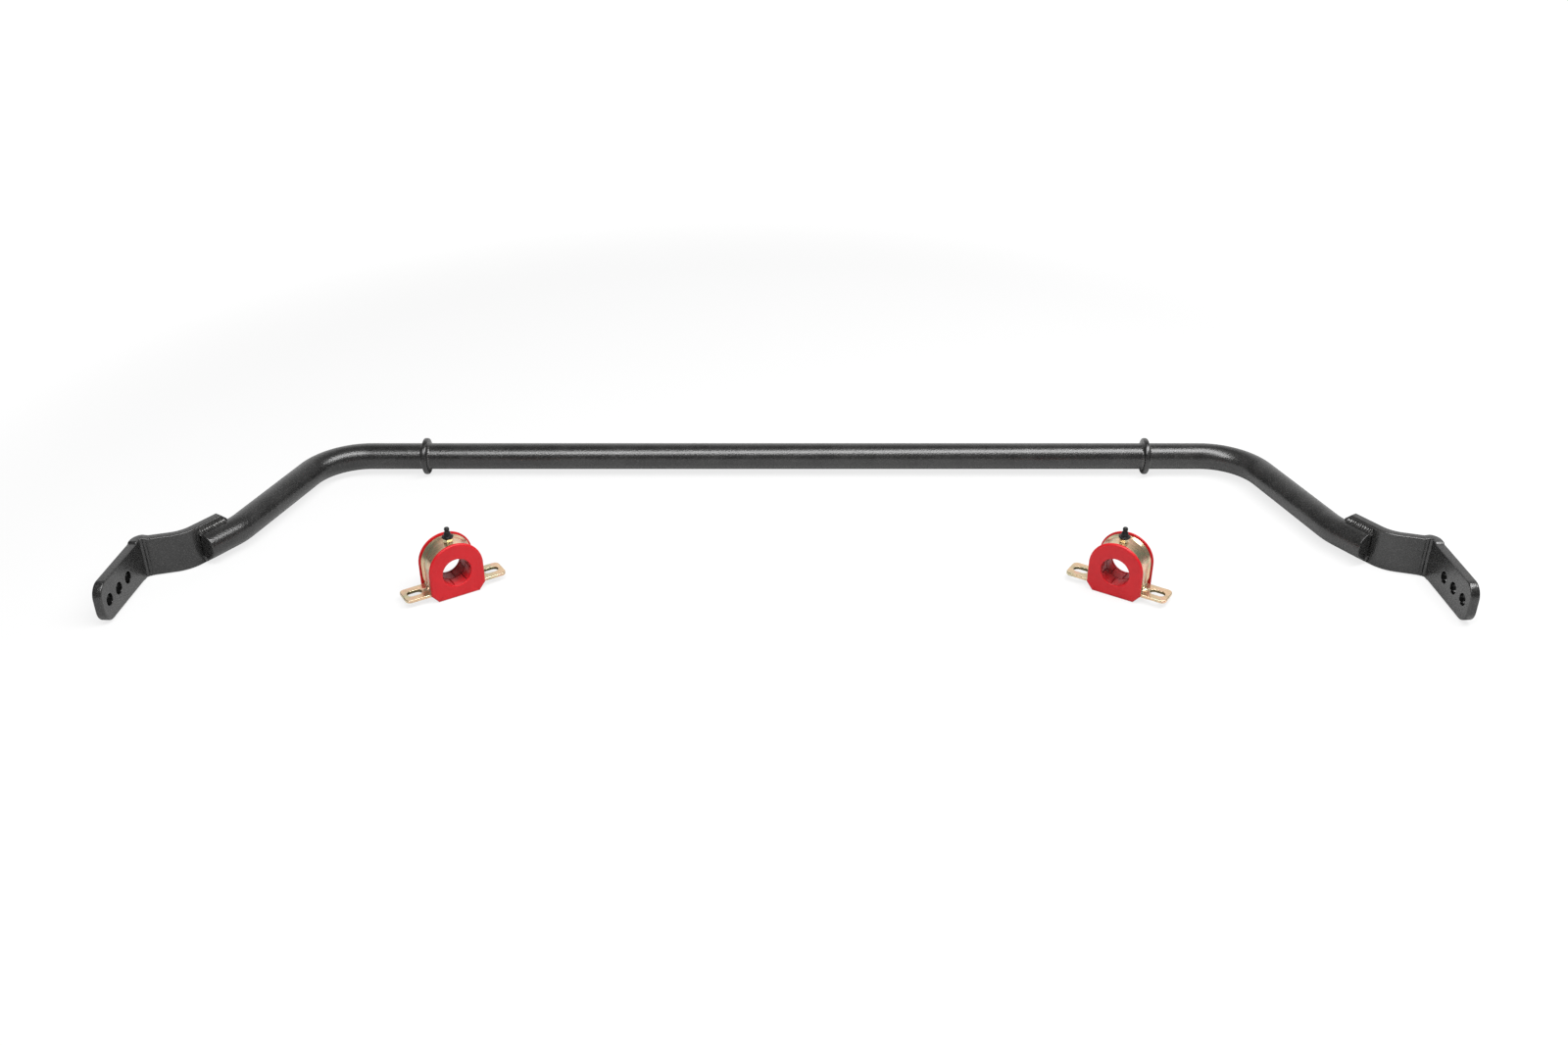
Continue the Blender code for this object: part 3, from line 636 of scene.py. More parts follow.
class Finish:
    """What every finish shares: a material with one Principled shader and the frame's slot that it is for."""

    name: str
    slot: str

    def begin(self) -> tuple[bpy.types.Material, Graph, bpy.types.Node]:
        """Makes the bare material, its graph and its coordinates."""
        made = bpy.data.materials.new(self.name)
        made.use_nodes = True
        graph = Graph(made.node_tree)
        return made, graph, graph.add("TexCoord")

    @staticmethod
    def group(graph: Graph, tree: bpy.types.NodeTree, inputs: dict[str, object]) -> bpy.types.Node:
        """Places a node group with its own values."""
        node = graph.add("Group", node_tree=tree)
        for key, value in inputs.items():
            graph.feed(node.inputs[key], value)
        return node

    @staticmethod
    def connect(graph: Graph, height: bpy.types.NodeSocket, relief: float, strength: float,
                **values: object) -> None:
        """Links or sets the shader's sockets, and gives it a bump.

        Args:
            graph: the material's graph.
            height: the bump's height.
            relief: its depth in metres.
            strength: its strength from 0 to 1.
            values: value or socket of each input, with an underscore for a blank in its name.
        """
        shader = graph.tree.nodes["Principled BSDF"]
        bump = graph.add("Bump", {"Height": height, "Distance": relief, "Strength": strength})
        graph.feed(shader.inputs["Normal"], bump.outputs[0])
        for key, value in values.items():
            graph.feed(shader.inputs[key.replace("_", " ")], value)


@dataclass(frozen=True)
class HammertoneCoat(Finish):
    """Black powder coat with a fine pebbled skin and faint metallic flecks; hole walls get painted shade."""

    name: str = "hammertone_coat"
    slot: str = "hammertone_black"
    dark: Colour = (0.006, 0.006, 0.006)
    light: Colour = (0.060, 0.059, 0.058)
    # near-black painted shade for hole walls
    painted_shade: Colour = (0.001, 0.001, 0.001)
    cells: float = 950.0
    fleck: float = 0.8
    drift: float = 0.18
    wear: float = 0.5
    relief: float = 0.000055
    roughness: tuple[float, float] = (0.20, 0.34)
    metallic: float = 0.0
    specular: float = 0.75

    def build(self) -> bpy.types.Material:
        """Builds the material."""
        made, graph, coordinates = self.begin()
        place = coordinates.outputs["Object"]
        grain = self.group(graph, GRAIN, {"Vector": place, "Cells per Metre": self.cells})
        wear = self.group(graph, WEAR_AND_SHADE, {"Vector": place, "Amount": self.wear})
        tone = graph.math("ADD", graph.math("MULTIPLY", grain.outputs["Fleck"], self.fleck),
                          graph.fit(grain.outputs["Drift"], 0.35, 0.70, 0.0, self.drift), clamp=True)
        colour = graph.mix(graph.math("MAXIMUM", tone, wear.outputs["Mask"]), self.dark, self.light)
        # painted shade: hole walls are darkened where the edge mask is negative
        colour = graph.mix(wear.outputs["Hollow"], colour, self.painted_shade)
        rough = graph.fit(grain.outputs["Height"], 0.2, 1.4, self.roughness[1], self.roughness[0])
        self.connect(graph, grain.outputs["Height"], self.relief, 1.0, Base_Color=colour,
                     Metallic=self.metallic, Roughness=rough, Specular_IOR_Level=self.specular)
        return made


@dataclass(frozen=True)
class PolyurethaneSkin(Finish):
    """Bright moulded polyurethane with faint flow rings about the bore, and painted shade inside the bore."""

    name: str = "polyurethane_skin"
    slot: str = "red_polyurethane"
    body: Colour = (0.56, 0.006, 0.012)
    deep: Colour = (0.48, 0.004, 0.010)
    # colour of the painted shade inside the bore and its pockets' grooves
    groove: Colour = (0.060, 0.002, 0.004)
    rubbed: Colour = (0.66, 0.012, 0.014)
    cells: float = 1500.0
    patches: float = 90.0
    wear: float = 0.35
    ring_pitch: float = 0.0021
    ring_rise: float = 0.35
    ring_roughness: float = 0.02
    bore_height: float = 0.0239
    relief: float = 0.00003
    roughness: tuple[float, float] = (0.36, 0.46)
    specular: float = 0.38

    def build(self) -> bpy.types.Material:
        """Builds the material: rings follow the distance from the bore's axis in the piece's pattern map."""
        made, graph, coordinates = self.begin()
        place = coordinates.outputs["Object"]
        shift = graph.add("VectorMath", {0: coordinates.outputs["UV"], 1: (0.0, self.bore_height, 0.0)},
                          operation="SUBTRACT")
        reach = graph.add("VectorMath", {0: shift.outputs[0]}, operation="LENGTH").outputs["Value"]
        rings = graph.math("SINE", graph.math("MULTIPLY", reach, 2 * np.pi / self.ring_pitch))
        grain = self.group(graph, GRAIN, {"Vector": place, "Cells per Metre": self.cells,
                                          "Drift per Metre": self.patches})
        wear = self.group(graph, WEAR_AND_SHADE, {"Vector": place, "Amount": self.wear})
        tone = graph.fit(grain.outputs["Drift"], 0.30, 0.70)
        colour = graph.mix(graph.math("MULTIPLY", tone, 0.5), self.body, self.deep)
        colour = graph.mix(wear.outputs["Mask"], colour, self.rubbed)
        # painted shade: the bore wall is darkened, most along its pockets' grooves
        colour = graph.mix(wear.outputs["Hollow"], colour, self.groove)
        rough = graph.math("ADD", graph.math("MULTIPLY", rings, self.ring_roughness),
                           graph.fit(grain.outputs["Height"], 0.3, 1.4, self.roughness[1], self.roughness[0]))
        height = graph.math("ADD", graph.math("MULTIPLY", rings, self.ring_rise), grain.outputs["Height"])
        self.connect(graph, height, self.relief, 0.8, Base_Color=colour, Roughness=rough,
                     Specular_IOR_Level=self.specular)
        return made


@dataclass(frozen=True)
class YellowZinc(Finish):
    """Zinc plating with a yellow passivate that drifts between straw, green and pink; slot walls get dark
    olive painted shade.
    """

    name: str = "yellow_zinc_plate"
    slot: str = "yellow_zinc"
    straw: Colour = (0.86, 0.61, 0.39)
    green: Colour = (0.55, 0.56, 0.36)
    pink: Colour = (0.90, 0.54, 0.40)
    rubbed: Colour = (0.70, 0.80, 0.60)
    scratch: Colour = (0.26, 0.17, 0.10)
    # dark olive painted shade for slot walls
    painted_shade: Colour = (0.09, 0.10, 0.04)
    green_patches: float = 60.0
    pink_patches: float = 95.0
    lines: float = 2900.0
    scratches: float = 0.34
    painted_shade_share: float = 0.85
    wear: float = 0.8
    brushed: bool = True
    relief: float = 0.00005
    roughness: tuple[float, float] = (0.16, 0.34)
    metallic: float = 0.9

    def build(self) -> bpy.types.Material:
        """Builds the material: brush lines run along the piece's own pattern map."""
        made, graph, coordinates = self.begin()
        place = coordinates.outputs["Object"]
        green = graph.add("TexNoise", {"Vector": place, "Scale": self.green_patches, "Detail": 3.0,
                                       "Roughness": 0.55})
        pink = graph.add("TexNoise", {"Vector": place, "Scale": self.pink_patches, "Detail": 2.0,
                                      "Distortion": 0.8})
        wear = self.group(graph, WEAR_AND_SHADE, {"Vector": place, "Amount": self.wear})
        colour = graph.mix(graph.fit(green.outputs["Fac"], 0.42, 0.66), self.straw, self.green)
        colour = graph.mix(graph.fit(pink.outputs["Fac"], 0.50, 0.72), colour, self.pink)
        colour = graph.mix(wear.outputs["Mask"], colour, self.rubbed)
        pattern = coordinates.outputs["UV"] if self.brushed else place
        brush = self.group(graph, BRUSH, {"Vector": pattern, "Lines per Metre": self.lines})
        lines = graph.fit(brush.outputs["Shade"], 0.42, 0.64, 0.0, self.scratches)
        colour = graph.mix(lines, colour, self.scratch)
        # painted shade: slot walls are darkened where the edge mask is negative
        hollow = graph.math("MULTIPLY", wear.outputs["Hollow"], self.painted_shade_share)
        colour = graph.mix(hollow, colour, self.painted_shade)
        rough = graph.fit(brush.outputs["Height"], 0.3, 0.7, *self.roughness)
        self.connect(graph, brush.outputs["Height"], self.relief, 1.0, Base_Color=colour,
                     Metallic=self.metallic, Roughness=rough)
        return made


@dataclass(frozen=True)
class MouldedRubber(Finish):
    """Black rubber with a fine matt bloom."""

    name: str = "moulded_rubber"
    slot: str = "black_rubber"
    dark: Colour = (0.003, 0.003, 0.003)
    bloom: Colour = (0.016, 0.016, 0.016)
    cells: float = 2600.0
    patches: float = 300.0
    relief: float = 0.00003
    roughness: tuple[float, float] = (0.28, 0.45)
    specular: float = 0.3

    def build(self) -> bpy.types.Material:
        """Builds the material."""
        made, graph, coordinates = self.begin()
        grain = self.group(graph, GRAIN, {"Vector": coordinates.outputs["Object"],
                                          "Cells per Metre": self.cells, "Drift per Metre": self.patches})
        colour = graph.mix(graph.fit(grain.outputs["Drift"], 0.35, 0.70), self.dark, self.bloom)
        rough = graph.fit(grain.outputs["Height"], 0.3, 1.4, self.roughness[1], self.roughness[0])
        self.connect(graph, grain.outputs["Height"], self.relief, 0.8, Base_Color=colour, Roughness=rough,
                     Specular_IOR_Level=self.specular)
        return made


@dataclass(frozen=True)
class BrightSteel(Finish):
    """Polished steel with hair-fine marks."""

    name: str = "polished_steel"
    slot: str = "bright_steel"
    light: Colour = (0.66, 0.66, 0.67)
    dark: Colour = (0.46, 0.46, 0.48)
    lines: float = 6000.0
    relief: float = 0.00001
    roughness: tuple[float, float] = (0.12, 0.26)

    def build(self) -> bpy.types.Material:
        """Builds the material."""
        made, graph, coordinates = self.begin()
        brush = self.group(graph, BRUSH, {"Vector": coordinates.outputs["Object"],
                                          "Lines per Metre": self.lines})
        colour = graph.mix(brush.outputs["Shade"], self.light, self.dark)
        rough = graph.fit(brush.outputs["Height"], 0.3, 0.7, *self.roughness)
        self.connect(graph, brush.outputs["Height"], self.relief, 0.6, Base_Color=colour, Metallic=1.0,
                     Roughness=rough)
        return made


Dress = tuple[Finish, bpy.types.Material]


def dress(finish: Finish) -> Dress:
    """Pairs a finish with its material."""
    return finish, finish.build()


def hang(piece: bpy.types.Object, clothes: Dress, body: str, node: str) -> None:
    """Dresses a piece, hangs it on a body and lets it stand for its node.

    Args:
        piece: the finished object.
        clothes: the finish that names its slot, and that finish's material.
        body: the body it rides on.
        node: the frame's node that it stands for.
    """
    finish, material = clothes
    piece.data.materials.append(material)
    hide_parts(node)
    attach(piece, body)
    log.info("%s: %d faces on %s", piece.name, len(piece.data.polygons), body)


# ---------------------------------------------------------------- the bar


@dataclass
class SwayBar:
    """The bent tube with its caps, rings, end plates and welds, about the axis of its straight section."""

    axis: tuple[float, float, float]
    radius: float = 0.0127
    corner: float = 0.447  # from the middle to the straight section's sharp corner
    arm: float = 0.1525  # from that corner to the tail's
    tail: float = 0.038  # from the tail's corner to its end
    headings: tuple[float, float, float] = tuple(np.radians((0.0, 72.0, 57.0)))
    bends: tuple[float, float] = (0.055, 0.056)
    cap: float = 0.0030  # thickness
    cap_fillet: float = 0.0008
    gap: float = 0.0003
    ring_x: float = 0.3535  # from the middle of the bar
    ring_radius: float = 0.0178
    ring_half: float = 0.0025  # half of its width
    ring_weld: float = 0.0021  # leg length
    plate_width: float = 0.0381
    plate_thickness: float = 0.0080
    plate_offset: float = 0.0036  # from the tail's axis to the plate's near face
    plate_start: float = 0.0070  # from the tail's corner to the plate's inner end
    plate_headings: tuple[float, float, float] = tuple(np.radians((57.0, 18.0, 87.1)))
    plate_spacings: tuple[float, float, float] = (0.0446, 0.0371, 0.0830)
    plate_bends: tuple[float, float] = (0.030, 0.0070)
    plate_trim: float = 0.0007  # taken off both edges
    plate_rise: float = 0.0013  # of the flange's end above the inner end
    plate_fillet: float = 0.0012
    bulges: tuple[float, float] = (0.0014, 0.00055)  # above and below the sharp bend
    press_lines: tuple[float, float] = (0.0008, -0.0016)  # from the sharp bend's start
    press_depth: float = 0.0004
    press_width: float = 0.0006
    plate_chamfer: float = 0.0055
    flange_corner: float = 0.0125
    link_hole: float = 0.00525  # radius
    link_border: float = 0.0089  # room round each hole in the mesh
    links_from_end: tuple[float, float, float] = (0.0480, 0.0302, 0.0124)
    bead: float = 0.0051  # the plate weld's radius
    bead_pitch: float = 0.00255
    bead_overhang: float = 0.0012
    ring_ripples: float = 46.0  # round each ring weld
    ripple_rise: float = 0.00042
    coat: HammertoneCoat = HammertoneCoat()
    # the weld coat's raised tones and pale flecks are partly painted sheen and glints on the bead
    weld_coat: HammertoneCoat = HammertoneCoat(
        name="coated_weld_skin", slot="coated_weld", dark=(0.016, 0.016, 0.016), light=(0.180, 0.176, 0.170),
        cells=1300.0, relief=0.00003, roughness=(0.10, 0.24), specular=1.0, metallic=0.35)

    def __post_init__(self) -> None:
        """Works out the middle lines and the materials."""
        self.run = Run.between((0.0, 0.0), self.headings, (self.corner, self.arm, self.tail), self.bends)
        heading = self.headings[2]
        turn = np.array((np.cos(self.headings[1]), -np.sin(self.headings[1])))
        self.tail_corner = np.array((self.corner, 0.0)) + self.arm * turn
        self.tail_along = np.array((np.cos(heading), -np.sin(heading)))
        self.tail_across = np.array((np.sin(heading), np.cos(heading)))
        middle = self.plate_offset + self.plate_thickness / 2
        start = self.tail_corner + self.plate_start * self.tail_along + middle * self.tail_across
        self.plate_run = Run.between(tuple(start), self.plate_headings, self.plate_spacings, self.plate_bends)
        self.paint = dress(self.coat)
        self.weld_paint = dress(self.weld_coat)

    def at_axis(self, x: Array, y: Array, z: Array) -> Array:
        """Puts places measured from the straight section's axis into the frame."""
        return grid_of(x, y, z) + np.array(self.axis)

    def in_tail(self, along: Array, across: Array, up: Array) -> Array:
        """Puts places measured along, behind and above the right tail's axis into the frame."""
        flat = self.tail_corner + along[..., None] * self.tail_along + across[..., None] * self.tail_across
        return self.at_axis(flat[..., 0], flat[..., 1], up)

    def hang(self, draft: Draft, piece: str, node: str, mirror: bool = False, weld: bool = False,
             sharp: float = 40.0) -> None:
        """Builds a draft as a piece of the bar and hangs it.

        Args:
            draft: the closed surface.
            piece: the piece's name.
            node: the node that it stands for.
            mirror: whether to flip it to the left side.
            weld: whether it is a weld, which has its own paint.
            sharp: angle in degrees past which an edge stays crisp.
        """
        made = draft.build(piece, mirror, sharp)
        hang(made, self.weld_paint if weld else self.paint, Body.BAR.value, node)

    def build(self) -> None:
        """Makes the whole bar."""
        self.build_tube()
        for name, side in SIDES.items():
            self.build_cap(name, side)
            self.build_ring(name, side)
            self.build_plate(name, side)
            for level, hand in (("upper", 1.0), ("lower", -1.0)):
                self.build_plate_weld(name, side, level, hand)

    def build_tube(self) -> None:
        """The tube: a circle carried along the bar, flattened behind each tail where the end plate passes.

        A point of the circle stands its radius times the cosine of its angle to the rear, and no further than
        the plate's near face lets it.
        """
        end = self.run.length - self.cap
        notch = float(self.run.knots[-1]) - self.tail + self.plate_start - self.gap
        half = self.run.stations(straight_step=0.012, bend_step=0.0020)
        half = np.unique(np.concatenate((half[half < end], (notch, notch + STEP_WIDTH, end))))
        signed = np.concatenate((-half[:0:-1], half))[:, None]
        along = np.abs(signed)
        angle = np.linspace(0.0, 2 * np.pi, 112, endpoint=False)[None]
        rear = self.radius * np.cos(angle) * np.ones_like(along)
        limit = self.plate_offset - self.gap
        rear = np.where(along > notch, np.minimum(rear, limit), rear)
        up = self.radius * np.sin(angle) * np.ones_like(along)
        x, y = self.run.at(np.broadcast_to(along, rear.shape), rear)
        x = np.where(signed < 0, -x, x)
        grid = self.at_axis(x, y, up)
        draft = Draft()
        draft.add(grid, wrap=True)
        draft.close(grid, 2)
        self.hang(draft, "bent_tube", "bar_tube")

    def tail_outline(self) -> Array:
        """The tail's section, clockwise: a circle cut flat on its rear side."""
        angle = -np.linspace(0.0, 2 * np.pi, 120, endpoint=False)
        rear = np.minimum(self.radius * np.cos(angle), self.plate_offset - self.gap)
        return np.stack((rear, self.radius * np.sin(angle)), axis=1)

    def build_cap(self, name: str, side: float) -> None:
        """The cap over a tail's end: the cut circle with eased edges."""
        draft = Draft()

        def place(rear: Array, up: Array, along: Array) -> Array:
            """Puts the outline's places at their distance along the tail."""
            return self.in_tail(along, rear, up)

        disc_with_edge(draft, self.tail_outline(), self.tail - self.cap, self.tail, self.cap_fillet, place)
        self.hang(draft, f"{name}_end_cap", f"{name}_tube_cap", mirror=side < 0)

    def build_ring(self, name: str, side: float) -> None:
        """The locator ring with a round crown, and the two rippled welds at its foot.

        A weld is a concave quarter round whose radius swells a little at each of its ripples.
        """
        foot = self.radius + self.gap
        half = self.ring_half
        crown = self.ring_radius
        middle = side * self.ring_x

        def place(first: Array, second: Array, along: Array) -> Array:
            """Stands the turned shape on the bar's axis at the ring's middle."""
            return self.at_axis(middle + along, first, second)

        ring = Draft()
        profile = rounded([(foot, 0.0, 0.0), (foot, half, 0.0), (crown, half, 0.0020), (crown, -half, 0.0020),
                           (foot, -half, 0.0), (foot, 0.0, 0.0)], steps=9)
        turned(ring, profile, place, 128)
        self.hang(ring, f"{name}_stop_ring", f"{name}_locator_ring")

        for label, hand in (("inner", -side), ("outer", side)):
            turn = np.linspace(0.0, np.pi / 2, 9)
            leg = self.ring_weld
            base = self.radius * 0.985
            toe = half + leg
            reach = base + leg * (1.15 - 0.95 * np.sin(turn))
            curve = np.stack((reach, hand * (toe - leg * 0.98 * np.cos(turn))), axis=1)
            corner = np.array(((base, hand * toe), (base, hand * half * 0.98), curve[0]))

            def ripple(radius: Array, angle: Array, height: Array) -> Array:
                """Swells the radius by a sine of the angle, more towards the crown."""
                bulge = (radius - base) / leg
                wave = 0.5 + 0.5 * np.sin(self.ring_ripples * angle + 900.0 * np.abs(height))
                return radius + self.ripple_rise * np.clip(bulge, 0.0, 1.0) * wave

            weld = Draft()
            turned(weld, np.concatenate((curve, corner)), place, 230, ripple)
            self.hang(weld, f"{name}_{label}_ring_bead", f"{name}_ring_{label}_weld", weld=True)

    def build_plate(self, name: str, side: float) -> None:
        """The end plate: a flat bar with a chamfered inner end, a round-cornered flange and three link holes.

        It is drawn straight, then each point is carried along the plate's middle line. The metal stands proud
        at both edges of the sharp bend and a little past it, and the press tool has left two shallow lines on
        the inner side.
        """
        run = self.plate_run
        half = self.plate_width / 2 - self.plate_trim
        corner = self.flange_corner
        room = self.link_border
        flange = run.length - corner
        # the outermost hole's border is the end of the bar
        holes = tuple(Hole(run.length - back, self.link_hole, room, room if back > 2 * room else back)
                      for back in self.links_from_end)
        turn = np.linspace(0.0, np.pi / 2, 13)
        borders = np.array([hole.centre - hole.before for hole in holes])
        along = run.stations(straight_step=0.0009, bend_step=0.0005)
        along = clear_stations(along, self.plate_chamfer + 0.0005, flange - 0.0005, borders)
        chamfer = np.linspace(0.0, self.plate_chamfer, 6)
        stations = in_order(chamfer, along[along < flange])
        widths = np.minimum(half, half - self.plate_chamfer + stations)
        stations = np.append(stations, flange + corner * np.sin(turn))
        widths = np.append(widths, half - corner + corner * np.cos(turn))
        bar = FlatBar(stations, widths, self.plate_thickness, self.plate_fillet, holes)
        bend, bend_end = run.knots[3:5]

        def place(distance: Array, across: Array, depth: Array) -> Array:
            """Bends the drawn bar along its middle line, with its swells and press lines."""
            rise = smooth_step((distance - bend + 0.0050) / 0.0060)
            fall = smooth_step((bend_end + 0.0052 - distance) / 0.0022)
            edge = smooth_step((np.abs(across) / half - 0.74) / 0.26)
            swell = np.where(across > 0, self.bulges[0], self.bulges[1]) * rise * fall * edge
            inner = np.clip(0.5 - depth / self.plate_thickness, 0.0, 1.0)
            press = sum(np.exp(-(((distance - bend - line) / self.press_width) ** 2))
                        for line in self.press_lines)
            x, y = run.at(distance, depth + self.press_depth * press * inner)
            middle = half + self.plate_rise * smooth_step(distance / run.length)
            return self.at_axis(x, y, across + np.sign(across) * swell + middle - self.axis[2])

        self.hang(bar.draft(place), f"{name}_bent_plate", f"{name}_end_plate", mirror=side < 0, sharp=50.0)

    def build_plate_weld(self, name: str, side: float, level: str, hand: float) -> None:
        """A weld bead between tail and plate, laid as overlapping scales.

        Its section is a quarter round about the corner that tail and plate make. Along the run its radius
        follows a rounded saw tooth whose phase lags at the bead's two toes, so that each scale is a crescent.
        """
        start = self.plate_start + self.plate_chamfer - 0.0030
        length = self.tail + self.bead_overhang - start
        along = np.linspace(0.0, length, 320)[:, None]
        turn = np.linspace(-0.18, 1.18, 25)[None]
        angle = turn * np.pi / 2
        lag = 0.7 * (2 * turn - 1) ** 2
        phase = along / self.bead_pitch + lag + 0.15 * np.sin(along * 700.0)
        saw = phase - np.floor(phase)
        scale = np.sin(np.pi * saw**0.65)
        lumps = 0.02 * np.sin(along * 1900.0 + 3.0 * turn) * np.sin(along * 760.0)
        ends = np.sqrt(np.clip(np.minimum(along, length - along) / 0.0022, 0.0, 1.0))
        reach = self.bead * (0.80 + 0.22 * scale + lumps) * (0.25 + 0.75 * ends)
        corner_rear = self.plate_offset + 0.0004
        corner_up = np.sqrt(self.radius**2 - self.plate_offset**2) - 0.0006

        def with_foot(values: Array, foot: Array | float) -> Array:
            """Adds one column inside the corner, which closes the section."""
            return np.append(values, np.broadcast_to(foot, along.shape), axis=1)

        rear = with_foot(corner_rear - reach * np.sin(angle), corner_rear)
        up = with_foot(corner_up + reach * np.cos(angle), corner_up - 0.0010)
        whole = with_foot(np.broadcast_to(along, reach.shape), along)
        grid = self.in_tail(start + whole, rear, hand * up)
        draft = Draft()
        draft.add(grid, wrap=True)
        draft.close(grid)
        self.hang(draft, f"{name}_{level}_plate_bead", f"{name}_{level}_weld", mirror=side < 0, weld=True,
                  sharp=70.0)


# ---------------------------------------------------------------- the mounts


@dataclass
class BushingMount:
    """One mount: split bushing, strap bracket, grease fitting and cap.

    Local places are across the bushing, along its bore with the near face at minus, and up from its flat.
    """

    name: str
    centre: tuple[float, float]
    yaw: float
    skins: dict[Skin, Dress]
    length: float = 0.0275
    half_width: float = 0.0243
    arc_height: float = 0.0267
    chamfer: tuple[float, float] = (0.0058, 0.0070)
    bore_height: float = 0.0239
    bore: float = 0.0128
    bushing_fillet: float = 0.0016
    bore_lip: float = 0.0006
    pads: int = 7  # round the bore
    pad_row: float = 0.0112  # length of a row of pads
    pocket_depth: float = 0.0009
    groove_half: float = 0.0184
    groove_length: float = 0.0226
    strap_thickness: float = 0.0028
    strap_half: float = 0.0106
    strap_fillet: float = 0.0006
    strap_rim: float = 0.0015
    strap_bend: float = 0.0038
    tab_half: float = 0.0455
    tab_low: float = 0.0055
    tab_corner: float = 0.0045
    slot_from_end: float = 0.0105
    slot_radius: float = 0.0041
    slot_straight: float = 0.0024
    slot_border: float = 0.0078  # room round each slot in the mesh
    dart_rise: float = 0.0034
    thread_pitch: float = 0.0010
    thread_depth: float = 0.00035
    hexagon: tuple[float, float] = (0.0002, 0.0034)  # its two ends above the crown
    hexagon_radii: tuple[float, float] = (0.0040, 0.0043)  # to a flat, and to a bevel's rim
    cap_foot: float = 0.0044
    cap_height: float = 0.0090
    ball: float = 0.0011  # radius
    ball_top: float = 0.0072
    ball_press: float = 0.00082
    spring_foot: float = 0.0012
    spring_radius: float = 0.0010
    spring_wire: float = 0.0002
    spring_turns: float = 5.0
    gap: float = 0.0003

    def __post_init__(self) -> None:
        """Works out the crown's height."""
        self.crown = self.arc_height + self.groove_half + self.gap + self.strap_thickness

    def place(self, across: Array, along: Array, up: Array) -> Array:
        """Turns local places by the mount's yaw and moves them into the frame."""
        cosine, sine = np.cos(self.yaw), np.sin(self.yaw)
        x = self.centre[0] + across * cosine - along * sine
        y = self.centre[1] + across * sine + along * cosine
        return grid_of(x, y, up)

    def on_crown(self, first: Array, second: Array, height: Array) -> Array:
        """Puts places about the fitting's axis, with heights from the strap's crown, into the frame."""
        return self.place(first, second, height + self.crown)

    def hang(self, draft: Draft, label: str, skin: Skin, body: Body, node: str,
             sharp: float = 40.0) -> bpy.types.Object:
        """Builds a draft as this mount's piece, hangs it and gives it back."""
        piece = draft.build(f"{self.name}_{label}", sharp=sharp)
        hang(piece, self.skins[skin], body.value.format(self.name), f"{self.name}_{node}")
        return piece

    def build(self) -> None:
        """Makes the whole mount."""
        self.build_bushing()
        self.build_strap()
        self.build_fitting()
        self.build_cap()
        self.build_ball()
        self.build_spring()

    def outlines(self) -> tuple[Array, Array]:
        """The bushing's outline and its groove's, point for point, clockwise from the left foot.

        Each is a half circle on straight legs. The outer one ends in two chamfers and the flat.
        """
        wide, narrow, high = self.half_width, self.groove_half, self.arc_height
        inset, rise = self.chamfer
        leg = np.linspace(0.0, 1.0, 14, endpoint=False)
        turn = np.linspace(np.pi, 0.0, 121)
        flat = np.linspace(1.0, -1.0, 30, endpoint=False)

        def outline(half: float, foot: float) -> Array:
            """One outline from its half width and from the half width of its foot."""
            slope = (foot + (half - foot) * leg, rise * leg)
            upright = (np.full_like(leg, half), rise + (high - rise) * leg)
            climb = np.stack(np.concatenate((slope, upright), axis=1), axis=1)
            arch = np.stack((half * np.cos(turn), high + half * np.sin(turn)), axis=1)
            floor = np.stack((foot * flat, np.zeros_like(flat)), axis=1)
            return np.concatenate((climb * (-1.0, 1.0), arch, climb[:0:-1], floor))

        return outline(wide, wide - inset), outline(narrow, narrow)

    def bore_wall(self, angle: Array, along: float) -> Array:
        """Share of full depth of the bore's pockets: staggered pads in two rows, plain at both mouths."""
        row = along / self.pad_row + 1.0
        round_gap = np.abs(row - np.round(row)) * self.pad_row
        turn = self.pads * angle / (2 * np.pi) + 0.5 * np.mod(np.floor(row), 2)
        long_gap = np.abs(turn - np.round(turn)) * 2 * np.pi * self.bore / self.pads
        nearest = np.minimum(round_gap, long_gap)
        plain = smooth_step((self.length / 2 - 0.0022 - np.abs(along)) / 0.0006)
        return (1.0 - smooth_step((nearest - 0.0001) / 0.0005)) * plain

    def build_bushing(self) -> None:
        """The bushing: one profile, from the bore over both faces and the strap's groove, carried round it.

        A row is one point of the profile carried all the way round, with its depth and its edge mask. The
        near half's rows run from the bore's mouth to the groove's floor, and the far half mirrors them.
        """
        outer, inner = self.outlines()
        normal = outward(outer)
        end = self.length / 2
        groove = self.groove_length / 2
        fillet, lip = self.bushing_fillet, self.bore_lip
        centre = np.array((0.0, self.bore_height))
        angle = np.arctan2(outer[:, 1] - self.bore_height, outer[:, 0])
        facing = np.stack((np.cos(angle), np.sin(angle)), axis=1)
        turn = np.linspace(0.0, np.pi / 2, 6)
        mouth = centre + (self.bore + lip) * facing
        rim = outer - fillet * normal
        well = 0.0041

